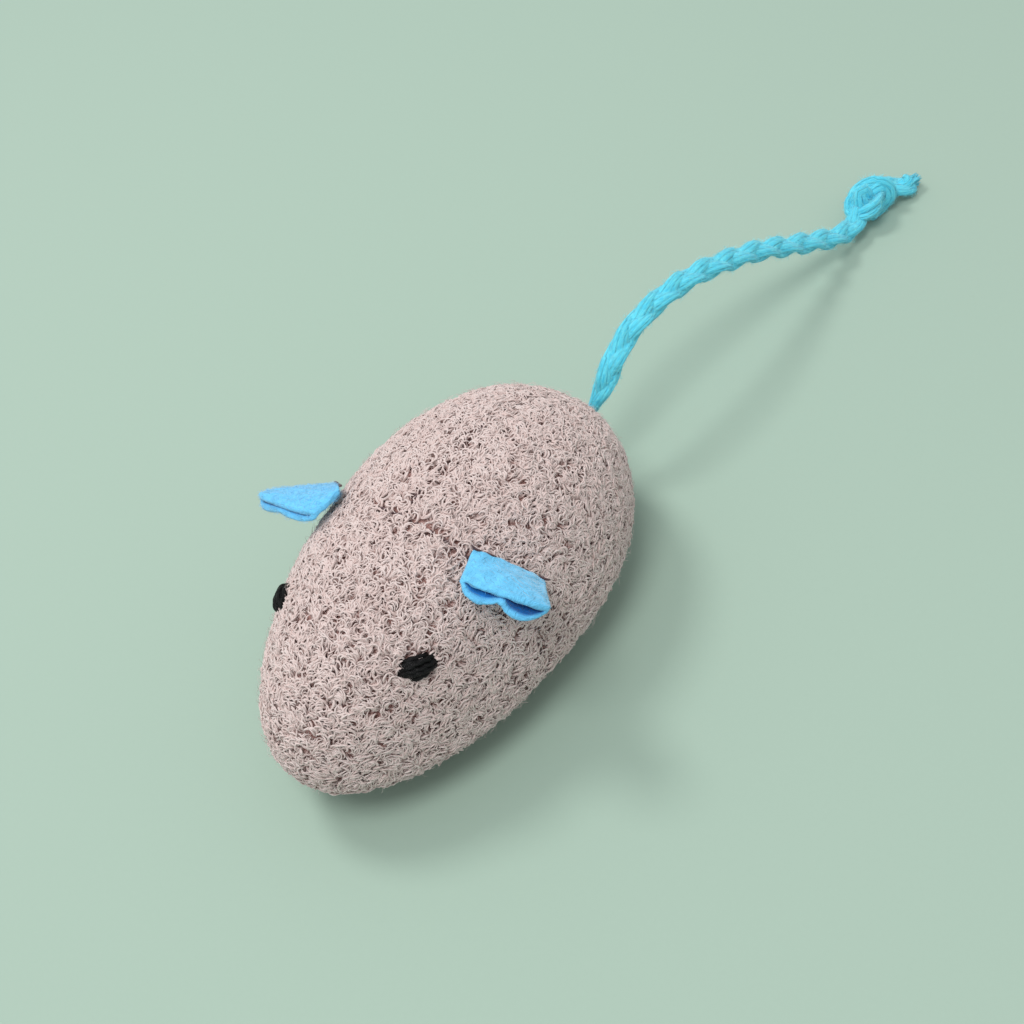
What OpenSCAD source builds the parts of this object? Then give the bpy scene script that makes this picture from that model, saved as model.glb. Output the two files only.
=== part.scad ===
// Plush clockwork mouse: a stuffed fleece body around a pull-tail spring motor.
// Frame: origin under the middle of the body on the ground, +X to the nose,
// +Y to the mouse's left, +Z up.

/* [Body] */
// Length of the stuffed body from rump to nose
body_l = 70; // [66:1:90]
// Width of the stuffed body at its widest
body_w = 40; // [39:1:52]
// Height of the body over its back
body_h = 33; // [32:1:42]
// Height of the rump's end over the ground
rump_z = 12.8; // [11:0.1:14]
// Height of the nose over the ground
nose_z = 11.2; // [9:0.1:14]
// Distance of the cross seam in front of the middle
seam_x = 3.5; // [0:0.5:8]
// Angle from the top at which the belly panel begins
belly_angle = 110; // [100:1:125]
// Thickness of the fleece backing and the pressed pile
fleece_t = 2; // [1.5:0.1:2.4]
// Room between the fleece and the stuffing, where the seam threads run
seam_room = 1.2; // [0.9:0.1:1.5]
// Diameter of the sewing thread bundle in a seam
thread_d = 0.5; // [0.3:0.05:0.7]

/* [Ears and eyes] */
// Thickness of the felt at the sewn base of an ear
ear_base_t = 1.4; // [1:0.1:2]
// Thickness of the doubled felt at the free edge of an ear
ear_edge_t = 3; // [2:0.1:4]
// Gap between an ear and the fleece under it
ear_gap = 0.5; // [0.4:0.1:1]
// How far the right ear hangs lower than the left one, in degrees
ear_droop = 10; // [0:1:12]
// Length of an embroidered eye
eye_l = 5.2; // [4:0.1:7]
// Width of an embroidered eye
eye_w = 3.2; // [2:0.1:4]
// Depth of the eye's stitches, through and over the fleece
eye_t = 1.8; // [1:0.1:2.5]
// Distance of the eyes in front of the middle
eye_x = 17.8; // [14:0.2:22]
// Angle of the eyes from the top
eye_angle = 47; // [35:1:60]
// Rise of the eyes' long axis towards the nose, in degrees
eye_tilt = 26; // [-40:1:40]

/* [Tail] */
// Diameter of the braided tail
tail_d = 3.4; // [2.6:0.1:4.2]
// Diameter of the tail where it gathers at the root
tail_root_d = 1.8; // [1.4:0.1:2.4]
// Size of the overhand knot, across
knot_d = 8.4; // [7:0.1:10]
// Diameter of the brushed end behind the knot
tip_d = 2.8; // [2:0.1:3.4]
// Diameter of the pull cord inside the body
cord_d = 1; // [0.6:0.05:1.1]
// Height of the pull cord over the ground
cord_z = 13; // [12.6:0.1:13.6]
// How far the tail pulls out
pull = 24; // [10:1:24]

/* [Motor casing] */
// Length of the motor casing
case_l = 36; // [36:0.5:40]
// Width of the motor casing
case_w = 25; // [25:0.5:27]
// Height of the motor casing
case_h = 13.8; // [11.5:0.1:15]
// Wall of the motor casing
case_wall = 1.2; // [0.8:0.05:1.4]
// Radius of the casing's upright corners
case_r = 8; // [6:0.5:9]
// Height of the casing's underside over the ground
case_z = 6.6; // [6.4:0.1:7]
// Diameter of the casing screws' shanks
screw_d = 1.2; // [1:0.1:1.4]

/* [Gear train] */
// Gear module
gear_m = 0.35; // [0.3:0.01:0.36]
// Teeth of the drum wheel
drum_teeth = 40; // [36:1:40]
// Teeth of both pinions
pinion_teeth = 10; // [10:1:12]
// Teeth of the idler wheel
idler_teeth = 36; // [30:1:36]
// Diameter of the steel arbors
arbor_d = 1.2; // [0.8:0.1:1.4]
// Running clearance of an arbor in its bore, on the radius
running_gap = 0.05; // [0.02:0.01:0.1]
// Radius of the eccentric weight
weight_r = 4.6; // [3:0.1:5]
// Turns of the mainspring
spring_turns = 6; // [4:1:8]
// Thickness of the mainspring's strip
spring_t = 0.25; // [0.15:0.01:0.3]

/* [Hidden] */

fleece_colour = [0.76, 0.70, 0.67];
felt_colour = [0.36, 0.70, 0.92];
yarn_colour = [0.25, 0.75, 0.86];
thread_colour = [0.60, 0.52, 0.50];
filling_colour = [0.94, 0.94, 0.92];
casing_colour = [0.85, 0.85, 0.82];
brass_colour = [0.80, 0.66, 0.32];
steel_colour = [0.62, 0.64, 0.66];

hair = 0.02;          // least gap between pieces that lie against each other
small_gap = 0.1;      // gap between a bush and the hole around it
room = 0.3;           // gap between parts that pass each other
half_l = body_l / 2;

// Outline of the body. Each exponent sets how full the outline is.
widest_x = -0.081 * body_l;
highest_x = -0.012 * body_l;
side_power = 2 / 2.14;
belly_power = 2 / 2.6;
belly_press = 1.03;   // the belly is pressed flat where it rests on the ground

function clamp0(v) = max(0, v);
function taper(x, mid, pr, qr, pf, qf) = x < mid
  ? pow(clamp0(1 - pow((mid - x) / (mid + half_l), pr)), 1 / qr)
  : pow(clamp0(1 - pow((x - mid) / (half_l - mid), pf)), 1 / qf);
function spine_z(x) = let (t = (x + half_l) / body_l)
  rump_z + (nose_z - rump_z) * t * t * (3 - 2 * t);
function half_w(x) = body_w / 2 * taper(x, widest_x, 2.12, 2, 1.83, 2.01);
function rise(x) = (body_h - spine_z(highest_x)) * taper(x, highest_x, 2.2, 2, 2.19, 2.01);
function drop(x) = spine_z(x) * taper(x, 0, 3, 2, 3, 2) * belly_press;
function bulge(v, power) = sign(v) * pow(abs(v), power);

// Point of the outer surface at length x and angle a from the top, +Y side positive
function skin(x, a) = [
  x,
  half_w(x) * bulge(sin(a), side_power),
  cos(a) > 0 ? spine_z(x) + rise(x) * pow(cos(a), side_power)
             : clamp0(spine_z(x) - drop(x) * pow(-cos(a), belly_power))
];
// The same surface drawn in by a depth on every side
function inset(p, d) = [
  p.x * (1 - 2 * d / body_l),
  p.y * (1 - 2 * d / body_w),
  d + p.z * (1 - 2 * d / body_h)
];
function skin_in(x, a, d) = inset(skin(x / (1 - 2 * d / body_l), a), d);
function unit(v) = v / norm(v);
nudge = 0.01;         // step over which a direction along the surface is taken
function skin_along(x, a) = unit(skin(x + nudge, a) - skin(x - nudge, a));
function skin_down(x, a) = unit(skin(x, a + nudge) - skin(x, a - nudge));
function skin_normal(x, a) = unit(cross(skin_along(x, a), skin_down(x, a)));

// Rows of the panels, from the hole for the tail to the nose
back_rows = 12;
head_rows = 11;
side_cols = 10;
belly_cols = 12;
seam_share = acos(-seam_x / half_l) / 180;
function row_x(share) = -half_l * cos(180 * share);
back_x = [for (i = [0:back_rows]) row_x(seam_share * i / back_rows)];
head_x = [for (i = [0:head_rows]) row_x(seam_share + (1 - seam_share) * i / head_rows)];
hole_r = 1.7;
hole_x = -half_l + 0.15;    // the panels end there in the tail's hole
function ring_point(x, r, a) = [x, r * sin(a), cord_z + r * cos(a)];

// A row of points at depth d. Row 0 at the rump is the round hole for the tail.
function panel_row(x, angles, d) = x <= -half_l + hair
  ? [for (a = angles) ring_point(hole_x + d, hole_r, a)]
  : [for (a = angles) inset(skin(x, a), d)];

// A panel: outer and inner surface over the same grid, closed at its edges.
// A panel that reaches the nose ends in a single point there.
module panel(xs, angles) {
  rows = len(xs) - 1;
  cols = len(angles) - 1;
  closes = xs[rows] > half_l - hair;
  m = cols + 1;
  n = closes ? rows * m + 1 : (rows + 1) * m;
  full = closes ? rows - 1 : rows;
  surface = [for (d = [0, fleece_t]) each concat(
    [for (i = [0:full]) each panel_row(xs[i], angles, d)],
    closes ? [inset(skin(half_l, 0), d)] : [])];
  function at(i, j) = closes && i == rows ? rows * m : i * m + j;
  outer = concat(
    [for (i = [0:full - (closes ? 0 : 1)], j = [0:cols - 1])
      [at(i, j), at(i + 1, j + 1), at(i, j + 1)]],
    [for (i = [0:full - 1], j = [0:cols - 1]) [at(i, j), at(i + 1, j), at(i + 1, j + 1)]]);
  function wall(a, b) = [[a, a + n, b + n], [a, b + n, b]];
  function wall_back(a, b) = [[a, b + n, a + n], [a, b, b + n]];
  edges = concat(
    [for (i = [0:rows - 1]) each wall(at(i, 0), at(i + 1, 0))],
    [for (i = [0:rows - 1]) each wall_back(at(i, cols), at(i + 1, cols))],
    [for (j = [0:cols - 1]) each wall_back(at(0, j), at(0, j + 1))],
    closes ? [] : [for (j = [0:cols - 1]) each wall(at(rows, j), at(rows, j + 1))]);
  polyhedron(surface, concat(outer, [for (f = outer) [f[2] + n, f[1] + n, f[0] + n]], edges));
}

// A solid through a chain of rings with equal counts of points. A closed chain
// joins its last ring to its first, as a sleeve does.
module loft(rings, closed = false) {
  m = len(rings[0]);
  k = len(rings);
  last = closed ? k - 1 : k - 2;
  sides = [for (i = [0:last], j = [0:m - 1])
    let (a = i * m + j, b = i * m + (j + 1) % m,
         c = ((i + 1) % k) * m + (j + 1) % m, d = ((i + 1) % k) * m + j)
    each [[a, b, c], [a, c, d]]];
  e = (k - 1) * m;
  caps = closed ? [] : [for (j = [0:m / 2 - 2])
    each [[j, m - 2 - j, j + 1], [j, m - 1 - j, m - 2 - j],
          [e + j, e + j + 1, e + m - 2 - j], [e + j, e + m - 2 - j, e + m - 1 - j]]];
  polyhedron([for (r = rings) each r], concat(sides, caps));
}

// Rings of a round tube along points; ref is never along the tube
function tube_rings(points, radii, sides, ref) = [
  for (i = [0:len(points) - 1])
    let (t = unit(points[min(i + 1, len(points) - 1)] - points[max(i - 1, 0)]),
         u = unit(cross(ref, t)), v = cross(t, u))
    [for (j = [0:sides - 1]) points[i] + radii[i] * (u * cos(360 * j / sides) + v * sin(360 * j / sides))]
];

// ---------------------------------------------------------------- fleece panels
function angles(from, to, steps) = [for (j = [0:steps]) from + (to - from) * j / steps];

module head_panel() {
  color(fleece_colour) panel(head_x, angles(-belly_angle, belly_angle, 2 * side_cols));
}
module back_panel_left() {
  color(fleece_colour) panel(back_x, angles(0, belly_angle, side_cols));
}
module back_panel_right() {
  color(fleece_colour) panel(back_x, angles(-belly_angle, 0, side_cols));
}
module belly_panel() {
  all_x = concat(back_x, [for (i = [1:head_rows]) head_x[i]]);
  color(fleece_colour) panel(all_x, angles(belly_angle, 360 - belly_angle, belly_cols));
}

// ---------------------------------------------------------------- ears
// The base runs from its inner to its outer corner along the skin.
ear_in = [3, 32];      // length and angle of the base's inner corner
ear_out = [-1, 60];    // length and angle of the base's outer corner
ear_edge_in = [8.6, 13.1, 31];
ear_edge_out = [5.8, 25, 28.4];
ear_lift = ear_gap + ear_base_t / 2;
ear_a = skin(ear_in[0], ear_in[1]) + ear_lift * skin_normal(ear_in[0], ear_in[1]);
ear_b = skin(ear_out[0], ear_out[1]) + ear_lift * skin_normal(ear_out[0], ear_out[1]);
// The free edge keeps its place over the skin of a larger or smaller body
ear_scale = [body_l / 70, body_w / 40, body_h / 33];
function scaled(p) = [p.x * ear_scale.x, p.y * ear_scale.y, p.z * ear_scale.z];
ear_c = scaled(ear_edge_out);
ear_d = scaled(ear_edge_in);

module ear_shape() {
  n = unit(cross(ear_b - ear_a, ear_c - ear_a));
  steps = 6;
  // base line and free edge as rows, the free edge rounded at its corners
  rows = [for (k = [0:steps])
    let (s = k / steps, t = ear_base_t + (ear_edge_t - ear_base_t) * sin(90 * s))
    [for (j = [0:steps])
      let (u = j / steps,
           base = ear_a + (ear_b - ear_a) * u,
           edge = ear_d + (ear_c - ear_d) * u,
           reach = s * (1 - 0.22 * pow(abs(2 * u - 1), 3)))
      [base + (edge - base) * reach, t]]];
  rings = [for (row = rows) concat(
    [for (j = [0:steps]) row[j][0] + n * row[j][1] / 2],
    [for (j = [steps:-1:0]) row[j][0] - n * row[j][1] / 2])];
  loft([for (i = [len(rings) - 1:-1:0]) rings[i]]);
}
module ear_left() {
  color(felt_colour) ear_shape();
}
module ear_right() {
  color(felt_colour) mirror([0, 1, 0])
    translate(ear_a) rotate(a = ear_droop, v = ear_b - ear_a) translate(-ear_a) ear_shape();
}

// ---------------------------------------------------------------- eyes
module eye_shape() {
  n = skin_normal(eye_x, eye_angle);
  along = skin_along(eye_x, eye_angle);
  across = cross(n, along);
  l = along * cos(eye_tilt) - across * sin(eye_tilt);
  w = cross(n, l);
  c = skin(eye_x, eye_angle);
  bands = 8;
  rings = [for (i = [1:bands - 1])
    let (a = 180 * i / bands)
    [for (j = [0:15]) c + n * (-cos(a) * eye_t / 2)
      + sin(a) * (l * eye_l / 2 * cos(22.5 * j) + w * eye_w / 2 * sin(22.5 * j))]];
  loft(rings);
}
module eye_left() {
  color([0.04, 0.04, 0.05]) eye_shape();
}
module eye_right() {
  color([0.04, 0.04, 0.05]) mirror([0, 1, 0]) eye_shape();
}

// ---------------------------------------------------------------- seam threads
thread_depth = fleece_t + seam_room / 2;
module thread(points, ref) {
  color(thread_colour) loft(tube_rings(points, [for (p = points) thread_d / 2], 6, ref));
}
module thread_back_seam() {
  thread([for (i = [3:back_rows - 1]) inset(skin(back_x[i], 0), thread_depth)], [0, 1, 0]);
}
module thread_cross_seam() {
  thread([for (j = [-side_cols + 1:side_cols - 1])
    inset(skin(seam_x, belly_angle * j / side_cols), thread_depth)], [1, 0, 0]);
}
module belly_thread(side) {
  xs = concat([for (i = [4:back_rows]) back_x[i]], [for (i = [1:head_rows - 3]) head_x[i]]);
  thread([for (x = xs) inset(skin(x, side * belly_angle), thread_depth)], [0, 0, 1]);
}
module thread_belly_left() {
  belly_thread(1);
}
module thread_belly_right() {
  belly_thread(-1);
}

// ---------------------------------------------------------------- stuffing
fill_depth = fleece_t + seam_room;
fill_cols = 36;
fill_angles = [for (j = [0:fill_cols - 1]) 360 * j / fill_cols];
function fill_ring(x) = [for (a = fill_angles) skin_in(x, a, fill_depth)];
side_room = 0.6;       // between the filling and the casing's sides
top_room = 0.5;        // between the filling and the casing's top and underside
corner_cut = 1.3;      // how far the ring around the casing goes into its corners
nose_room = 0.6;
rump_room = 2.6;
cord_room = 1.5;       // radius of the channel that the cord runs through
// A ring around the casing, with its corners cut off
case_mid_z = case_z + case_h / 2;
function case_half_w(x) = case_w / 2 - case_r
  + sqrt(clamp0(pow(case_r, 2) - pow(clamp0(abs(x) - case_l / 2 + case_r), 2)));
function case_ring(x) = let (a = case_half_w(x) + side_room, b = case_h / 2 + top_room)
  [for (g = fill_angles) [x,
    max(-a, min(a, corner_cut * a * sin(g))),
    case_mid_z + max(-b, min(b, corner_cut * b * cos(g)))]];
function cord_ring(x, r) = [for (g = fill_angles) ring_point(x, r, g)];

module stuffing_head() {
  from = case_l / 2 + 2 * room + small_gap;
  to = half_l - fill_depth - nose_room;
  count = 9;
  color(filling_colour)
    loft([for (i = [0:count]) fill_ring(from + (to - from) * sin(90 * i / count))]);
}
module stuffing_middle() {
  ends = case_l / 2 + room;
  corner = case_l / 2 - case_r;
  half = concat([0, corner / 2], [for (k = [0:7]) corner + case_r * sin(90 * k / 7)], [ends]);
  xs = concat([for (i = [len(half) - 1:-1:1]) -half[i]], half);
  color(filling_colour)
    loft(concat([for (x = xs) fill_ring(x)],
                [for (i = [len(xs) - 1:-1:0]) case_ring(xs[i])]), closed = true);
}
module stuffing_rump() {
  from = -half_l + fill_depth + rump_room;
  to = -case_l / 2 - 2 * room - small_gap;
  count = 6;
  xs = [for (i = [0:count]) to + (from - to) * sin(90 * i / count)];
  color(filling_colour)
    loft(concat([for (i = [count:-1:0]) fill_ring(xs[i])],
                [for (x = xs) cord_ring(x, cord_room)]), closed = true);
}

// ---------------------------------------------------------------- motor
// The cord's middle lies on y = 0 and leaves the drum there.
wrap_r = 3.5;                          // radius of the wound cord's middle
drum_at = [-8.5, wrap_r];
mesh_1 = gear_m * (drum_teeth + pinion_teeth) / 2;
mesh_2 = gear_m * (idler_teeth + pinion_teeth) / 2;
idler_turn = -10;                      // direction from the drum to the idler
eccentric_turn = 0;                    // direction from the idler to the eccentric
idler_at = drum_at + mesh_1 * [cos(idler_turn), sin(idler_turn)];
eccentric_at = idler_at + mesh_2 * [cos(eccentric_turn), sin(eccentric_turn)];
arbors = [drum_at, idler_at, eccentric_at];

floor_z = case_z + case_wall;
ceiling_z = case_z + case_h - case_wall;
boss_h = 0.3;
boss_r = 1.3;
washer_t = 0.2;
train_z = floor_z + boss_h + washer_t; // lowest height of what turns
wrap_h = 3 * cord_d;                   // width of the drum's winding space
flange_t = 0.6;
flange_r = 6;
wrap_z = cord_z - wrap_h / 2;
wheel_1_z = cord_z + wrap_h / 2;
// The two wheels share the height that the casing leaves over the drum
wheel_play = 1;                        // what stays free over the upper wheel
wheels_t = ceiling_z - wheel_1_z - room - wheel_play;
wheel_t = wheels_t * 9 / 17;
wheel_2_t = wheels_t - wheel_t;
wheel_2_z = wheel_1_z + wheel_t + room;
gear_lap = 0.2;                        // how far a pinion stands out past its wheel
spring_in = 1.5;
spring_room = 0.25;                    // between the spring's eye and the drum's core
spring_out = 6.6;
barrel_r = 6.8;
barrel_t = 0.6;
spring_z = train_z;
spring_w = wrap_z - flange_t - room - spring_z;
cord_pass = 0.4;                       // between the weight's top and the cord
blind = 0.8;                           // depth of an arbor's bore in the wall
arbor_low = floor_z - blind + small_gap;
arbor_high = ceiling_z + blind - small_gap;

// ---------------------------------------------------------------- tail
// Route of the braid from the bush in the rump to its knot, as steps from where
// it leaves the body
tail_exit = [-half_l - 1.2, 0, cord_z];
tail_steps = [
  [0, 0, 0], [-1.6, 0.7, 1.8], [-3.6, 1.1, 3.8], [-6.4, 1.2, 5.9],
  [-10, 1.3, 7.6], [-14.6, 1.7, 8.5], [-20.2, 2.5, 8.5], [-26.4, 3.5, 7.4],
  [-33.2, 4.7, 5], [-40.8, 6.1, 1.5], [-49.8, 8.1, -3.7], [-57.8, 9.8, -8.1],
  [-63, 10.4, -10], [-66.8, 10, -9.8]
];
tail_route = [for (p = tail_steps) tail_exit + p];
knot_at = tail_exit + [-70.3, 9.4, -9.1];
tip_at = tail_exit + [-78.8, 13.2, -11.4];

function curve(p0, p1, p2, p3, t) = 0.5 * ((2 * p1) + (p2 - p0) * t
  + (2 * p0 - 5 * p1 + 4 * p2 - p3) * t * t + (3 * p1 - p0 - 3 * p2 + p3) * t * t * t);
function smooth(route, per) = let (k = len(route) - 1) concat(
  [for (i = [0:k - 1], s = [0:per - 1])
    curve(route[max(i - 1, 0)], route[i], route[i + 1], route[min(i + 2, k)], s / per)],
  [route[k]]);

module tail_braid() {
  line = smooth(tail_route, 4);
  gather = 9;   // rings over which the braid grows to its full size
  radii = [for (i = [0:len(line) - 1])
    (tail_root_d + (tail_d - tail_root_d) * min(1, i / gather)) / 2];
  color(yarn_colour) loft(tube_rings(line, radii, 8, [0, 0, 1]));
}
module tail_knot() {
  front_d = 0.86 * knot_d;
  back_d = 0.79 * knot_d;
  front = knot_d * [0.12, 0.06, 0];
  back = knot_d * [-0.14, -0.02, -0.02];
  color(yarn_colour) translate(knot_at) hull() {
    translate(front) sphere(d = front_d, $fn = 28);
    translate(back) sphere(d = back_d, $fn = 28);
  }
}
module tail_tip() {
  way = tip_at - knot_at;
  sag = 0.5;
  shares = [0.42, 0.6, 0.8, 1];
  radii = tip_d * [0.42, 0.5, 0.5, 0.4];
  points = [for (s = shares) knot_at + way * s + [0, 0, -sag * sin(180 * s)]];
  color(yarn_colour) loft(tube_rings(points, radii, 8, [0, 0, 1]));
}

// The bush in the rump seam, which the pull cord runs through
tail_bush_l = fleece_t + 1;
collar_t = 0.6;
collar_r = hole_r + 0.8;
running_room = 0.25;   // around the cord in the bush
module along_x(x) {
  translate([x, 0, cord_z]) rotate([0, 90, 0]) children();
}
module tail_bush() {
  color(casing_colour) along_x(-half_l + 0.1) difference() {
    union() {
      cylinder(r = hole_r - small_gap, h = tail_bush_l, $fn = 48);
      translate([0, 0, tail_bush_l]) cylinder(r = collar_r, h = collar_t, $fn = 48);
    }
    translate([0, 0, -1]) cylinder(r = cord_d / 2 + running_room, h = tail_bush_l + 3, $fn = 48);
  }
}
// Straight run of the cord, from the tail's root past the drum. The length that
// lies in front of the drum stands for the turn that unwinds.
cord_start = tail_exit.x + 0.9;
cord_front = drum_at.x + pull;
module pull_cord() {
  color(yarn_colour) along_x(cord_start) cylinder(d = cord_d, h = cord_front - cord_start, $fn = 24);
}

// ---------------------------------------------------------------- gear train
// Involute gear outline, 25 degree pressure angle, with a tooth towards turn
gear_angle = 25;
gear_play = 0.05;
tooth_top = 0.8;       // of a tooth over the rolling circle, in modules
tooth_foot = 1.05;     // of a gap under the rolling circle, in modules
flank_steps = 4;
function involute(a) = tan(a) * 180 / PI - a;
function gear_points(teeth, turn) =
  let (rp = gear_m * teeth / 2, rb = rp * cos(gear_angle), ra = rp + tooth_top * gear_m,
       rf = rp - tooth_foot * gear_m, from = max(rb, rf),
       half = (PI * gear_m / 2 - gear_play) / (2 * rp) * 180 / PI + involute(gear_angle),
       flank = [for (k = [0:flank_steps]) let (r = from + (ra - from) * k / flank_steps)
         [r, half - involute(acos(min(1, rb / r)))]])
  [for (i = [0:teeth - 1]) let (mid = turn + 360 * i / teeth)
    each concat(
      [[rf, mid - flank[0][1]]],
      [for (k = [0:flank_steps]) [flank[k][0], mid - flank[k][1]]],
      [for (k = [flank_steps:-1:0]) [flank[k][0], mid + flank[k][1]]],
      [[rf, mid + flank[0][1]]])];
module gear(teeth, turn, h) {
  linear_extrude(h) polygon([for (p = gear_points(teeth, turn)) p[0] * [cos(p[1]), sin(p[1])]]);
}
module lift(at, z) {
  translate([at.x, at.y, z]) children();
}
module on_arbor(h) {
  translate([0, 0, -1]) cylinder(d = arbor_d, h = h + 2, $fn = 32);
}
module arbor(at) {
  color(steel_colour) lift(at, arbor_low) cylinder(d = arbor_d, h = arbor_high - arbor_low, $fn = 32);
}

module drum_core() {
  low = train_z;
  color(casing_colour) lift(drum_at, low) difference() {
    union() {
      cylinder(r = spring_in - spring_room, h = wrap_z - low, $fn = 48);
      translate([0, 0, wrap_z - flange_t - low]) cylinder(r = flange_r, h = flange_t, $fn = 64);
      translate([0, 0, wrap_z - low])
        cylinder(r = wrap_r - cord_d / 2 - small_gap / 2, h = wrap_h, $fn = 48);
    }
    on_arbor(cord_z);
  }
}
// Round openings in a wheel, spread evenly around its arbor
module openings(count, at_r, r, h) {
  for (k = [0.5:count - 0.5]) rotate(360 * k / count)
    translate([at_r, 0, 0]) cylinder(r = r, h = h, $fn = 32);
}
module drum_wheel() {
  color(brass_colour) lift(drum_at, wheel_1_z) difference() {
    gear(drum_teeth, idler_turn, wheel_t);
    on_arbor(wheel_t);
    translate([0, 0, -1]) openings(5, 4.2, 1.3, wheel_t + 2);
  }
}
module drum_arbor() {
  arbor(drum_at);
}
module cord_turns() {
  ring_r = cord_d / 2 - hair;
  color(yarn_colour) for (side = [-1, 1])
    lift(drum_at, cord_z + side * cord_d) rotate_extrude($fn = 64)
      translate([wrap_r, 0]) circle(r = ring_r, $fn = 24);
}
module idler_gear() {
  low = wheel_1_z - gear_lap;
  color(brass_colour) lift(idler_at, low) difference() {
    union() {
      gear(pinion_teeth, idler_turn + 180 + 180 / pinion_teeth, wheel_2_z - low);
      translate([0, 0, wheel_2_z - low]) gear(idler_teeth, eccentric_turn, wheel_2_t);
    }
    on_arbor(wheel_2_z - low + wheel_2_t);
    translate([0, 0, wheel_2_z - low - hair]) openings(4, 4, 1.2, wheel_2_t + 1);
  }
}
module idler_arbor() {
  arbor(idler_at);
}
module eccentric_pinion() {
  h = wheel_2_t + 2 * gear_lap;
  color(brass_colour) lift(eccentric_at, wheel_2_z - gear_lap) difference() {
    gear(pinion_teeth, eccentric_turn + 180 + 180 / pinion_teeth, h);
    on_arbor(h);
  }
}
module eccentric_weight() {
  h = cord_z - cord_d / 2 - cord_pass - train_z;
  color(steel_colour) lift(eccentric_at, train_z) difference() {
    union() {
      intersection() {
        cylinder(r = weight_r, h = h, $fn = 64);
        translate([0, -weight_r, 0]) cube([2 * weight_r, 2 * weight_r, h]);
      }
      cylinder(r = boss_r, h = h, $fn = 48);
    }
    on_arbor(h);
  }
}
module eccentric_arbor() {
  arbor(eccentric_at);
}
module thrust_washers() {
  color(steel_colour) for (at = arbors) lift(at, floor_z + boss_h) difference() {
    cylinder(r = boss_r - 0.05, h = washer_t - hair, $fn = 48);
    translate([0, 0, -1]) cylinder(r = arbor_d / 2 + running_gap, h = 2, $fn = 32);
  }
}

// Flat strip wound in a spiral, fixed to the barrel at its outer end
module mainspring() {
  per = 20;
  count = spring_turns * per;
  grow = (spring_out - spring_in - spring_t) / count;
  function wound(k, extra) = (spring_in + grow * k + extra) * [cos(360 * k / per), sin(360 * k / per)];
  color(steel_colour) lift(drum_at, spring_z) linear_extrude(spring_w)
    polygon(concat([for (k = [0:count]) wound(k, 0)], [for (k = [count:-1:0]) wound(k, spring_t)]));
}

// ---------------------------------------------------------------- casing
step_h = 1;       // the casing's rims are stepped in by step_in over this height
step_in = 2;
screw_side = [13, 7.6];
screws = [screw_side, [screw_side.x, -screw_side.y], -screw_side];
screw_head_r = 1.15;
screw_head_h = 0.8;
screw_sunk = 0.2;      // depth of a screw's head under the casing's surface
slot_l = 1.4;
slot_w = 0.3;
slot_depth = 0.4;
post_r = 1.7;
screw_high = cord_z + 3.6;
screw_end_room = 0.2;
bush_r = 1.5;
bush_out = 0.2;        // how far the cord's bush stands out of the wall

// Plan of the casing, drawn in by d on every side
module case_plan(d) {
  l = case_l / 2 - d;
  w = case_w / 2 - d;
  r = case_r - d;
  square([2 * l, 2 * (w - r)], center = true);
  square([2 * (l - r), 2 * w], center = true);
  for (sx = [-1, 1], sy = [-1, 1]) translate([sx * (l - r), sy * (w - r)]) circle(r = r, $fn = 64);
}
module case_block() {
  translate([0, 0, case_z]) linear_extrude(case_h) case_plan(step_in);
  translate([0, 0, case_z + step_h]) linear_extrude(case_h - 2 * step_h) case_plan(0);
}
module case_hollow(z0, z1) {
  translate([0, 0, z0]) linear_extrude(z1 - z0) case_plan(case_wall);
}
module arbor_bores() {
  for (at = arbors) lift(at, floor_z - blind)
    cylinder(r = arbor_d / 2 + running_gap, h = ceiling_z - floor_z + 2 * blind, $fn = 32);
}
module cord_hole() {
  along_x(-case_l / 2 - 2) cylinder(r = bush_r, h = case_wall + 4, $fn = 48);
}
// The lower half's lip, which the upper half closes over
lip_h = 0.8;
lip_t = 0.5;
lip_root = 0.6;
lip_gap = 0.05;
module lip(z0, z1, d) {
  translate([0, 0, z0]) linear_extrude(z1 - z0) difference() {
    case_plan(d);
    case_plan(case_wall + lip_gap + lip_t);
  }
}
module casing_lower() {
  color(casing_colour) difference() {
    union() {
      difference() {
        case_block();
        case_hollow(floor_z, case_z + case_h + 1);
        translate([-case_l, -case_w, cord_z]) cube([2 * case_l, 2 * case_w, case_h]);
      }
      lip(cord_z - lip_root, cord_z, case_wall - small_gap);
      lip(cord_z - hair, cord_z + lip_h, case_wall + lip_gap);
      lift(drum_at, floor_z - small_gap) difference() {
        cylinder(r = barrel_r + barrel_t, h = spring_w + boss_h + washer_t + small_gap, $fn = 96);
        translate([0, 0, -1]) cylinder(r = barrel_r, h = case_h, $fn = 96);
      }
      for (at = arbors) lift(at, floor_z - small_gap)
        cylinder(r = boss_r, h = boss_h + small_gap, $fn = 48);
      for (s = screws) lift(s, floor_z - small_gap)
        cylinder(r = post_r, h = cord_z - floor_z + small_gap, $fn = 48);
    }
    arbor_bores();
    cord_hole();
    for (s = screws) {
      lift(s, case_z - 1) cylinder(r = screw_d / 2 + running_gap, h = case_h, $fn = 32);
      lift(s, case_z - 1)
        cylinder(r = screw_head_r + small_gap, h = 1 + screw_sunk + screw_head_h, $fn = 32);
    }
  }
}
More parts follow.
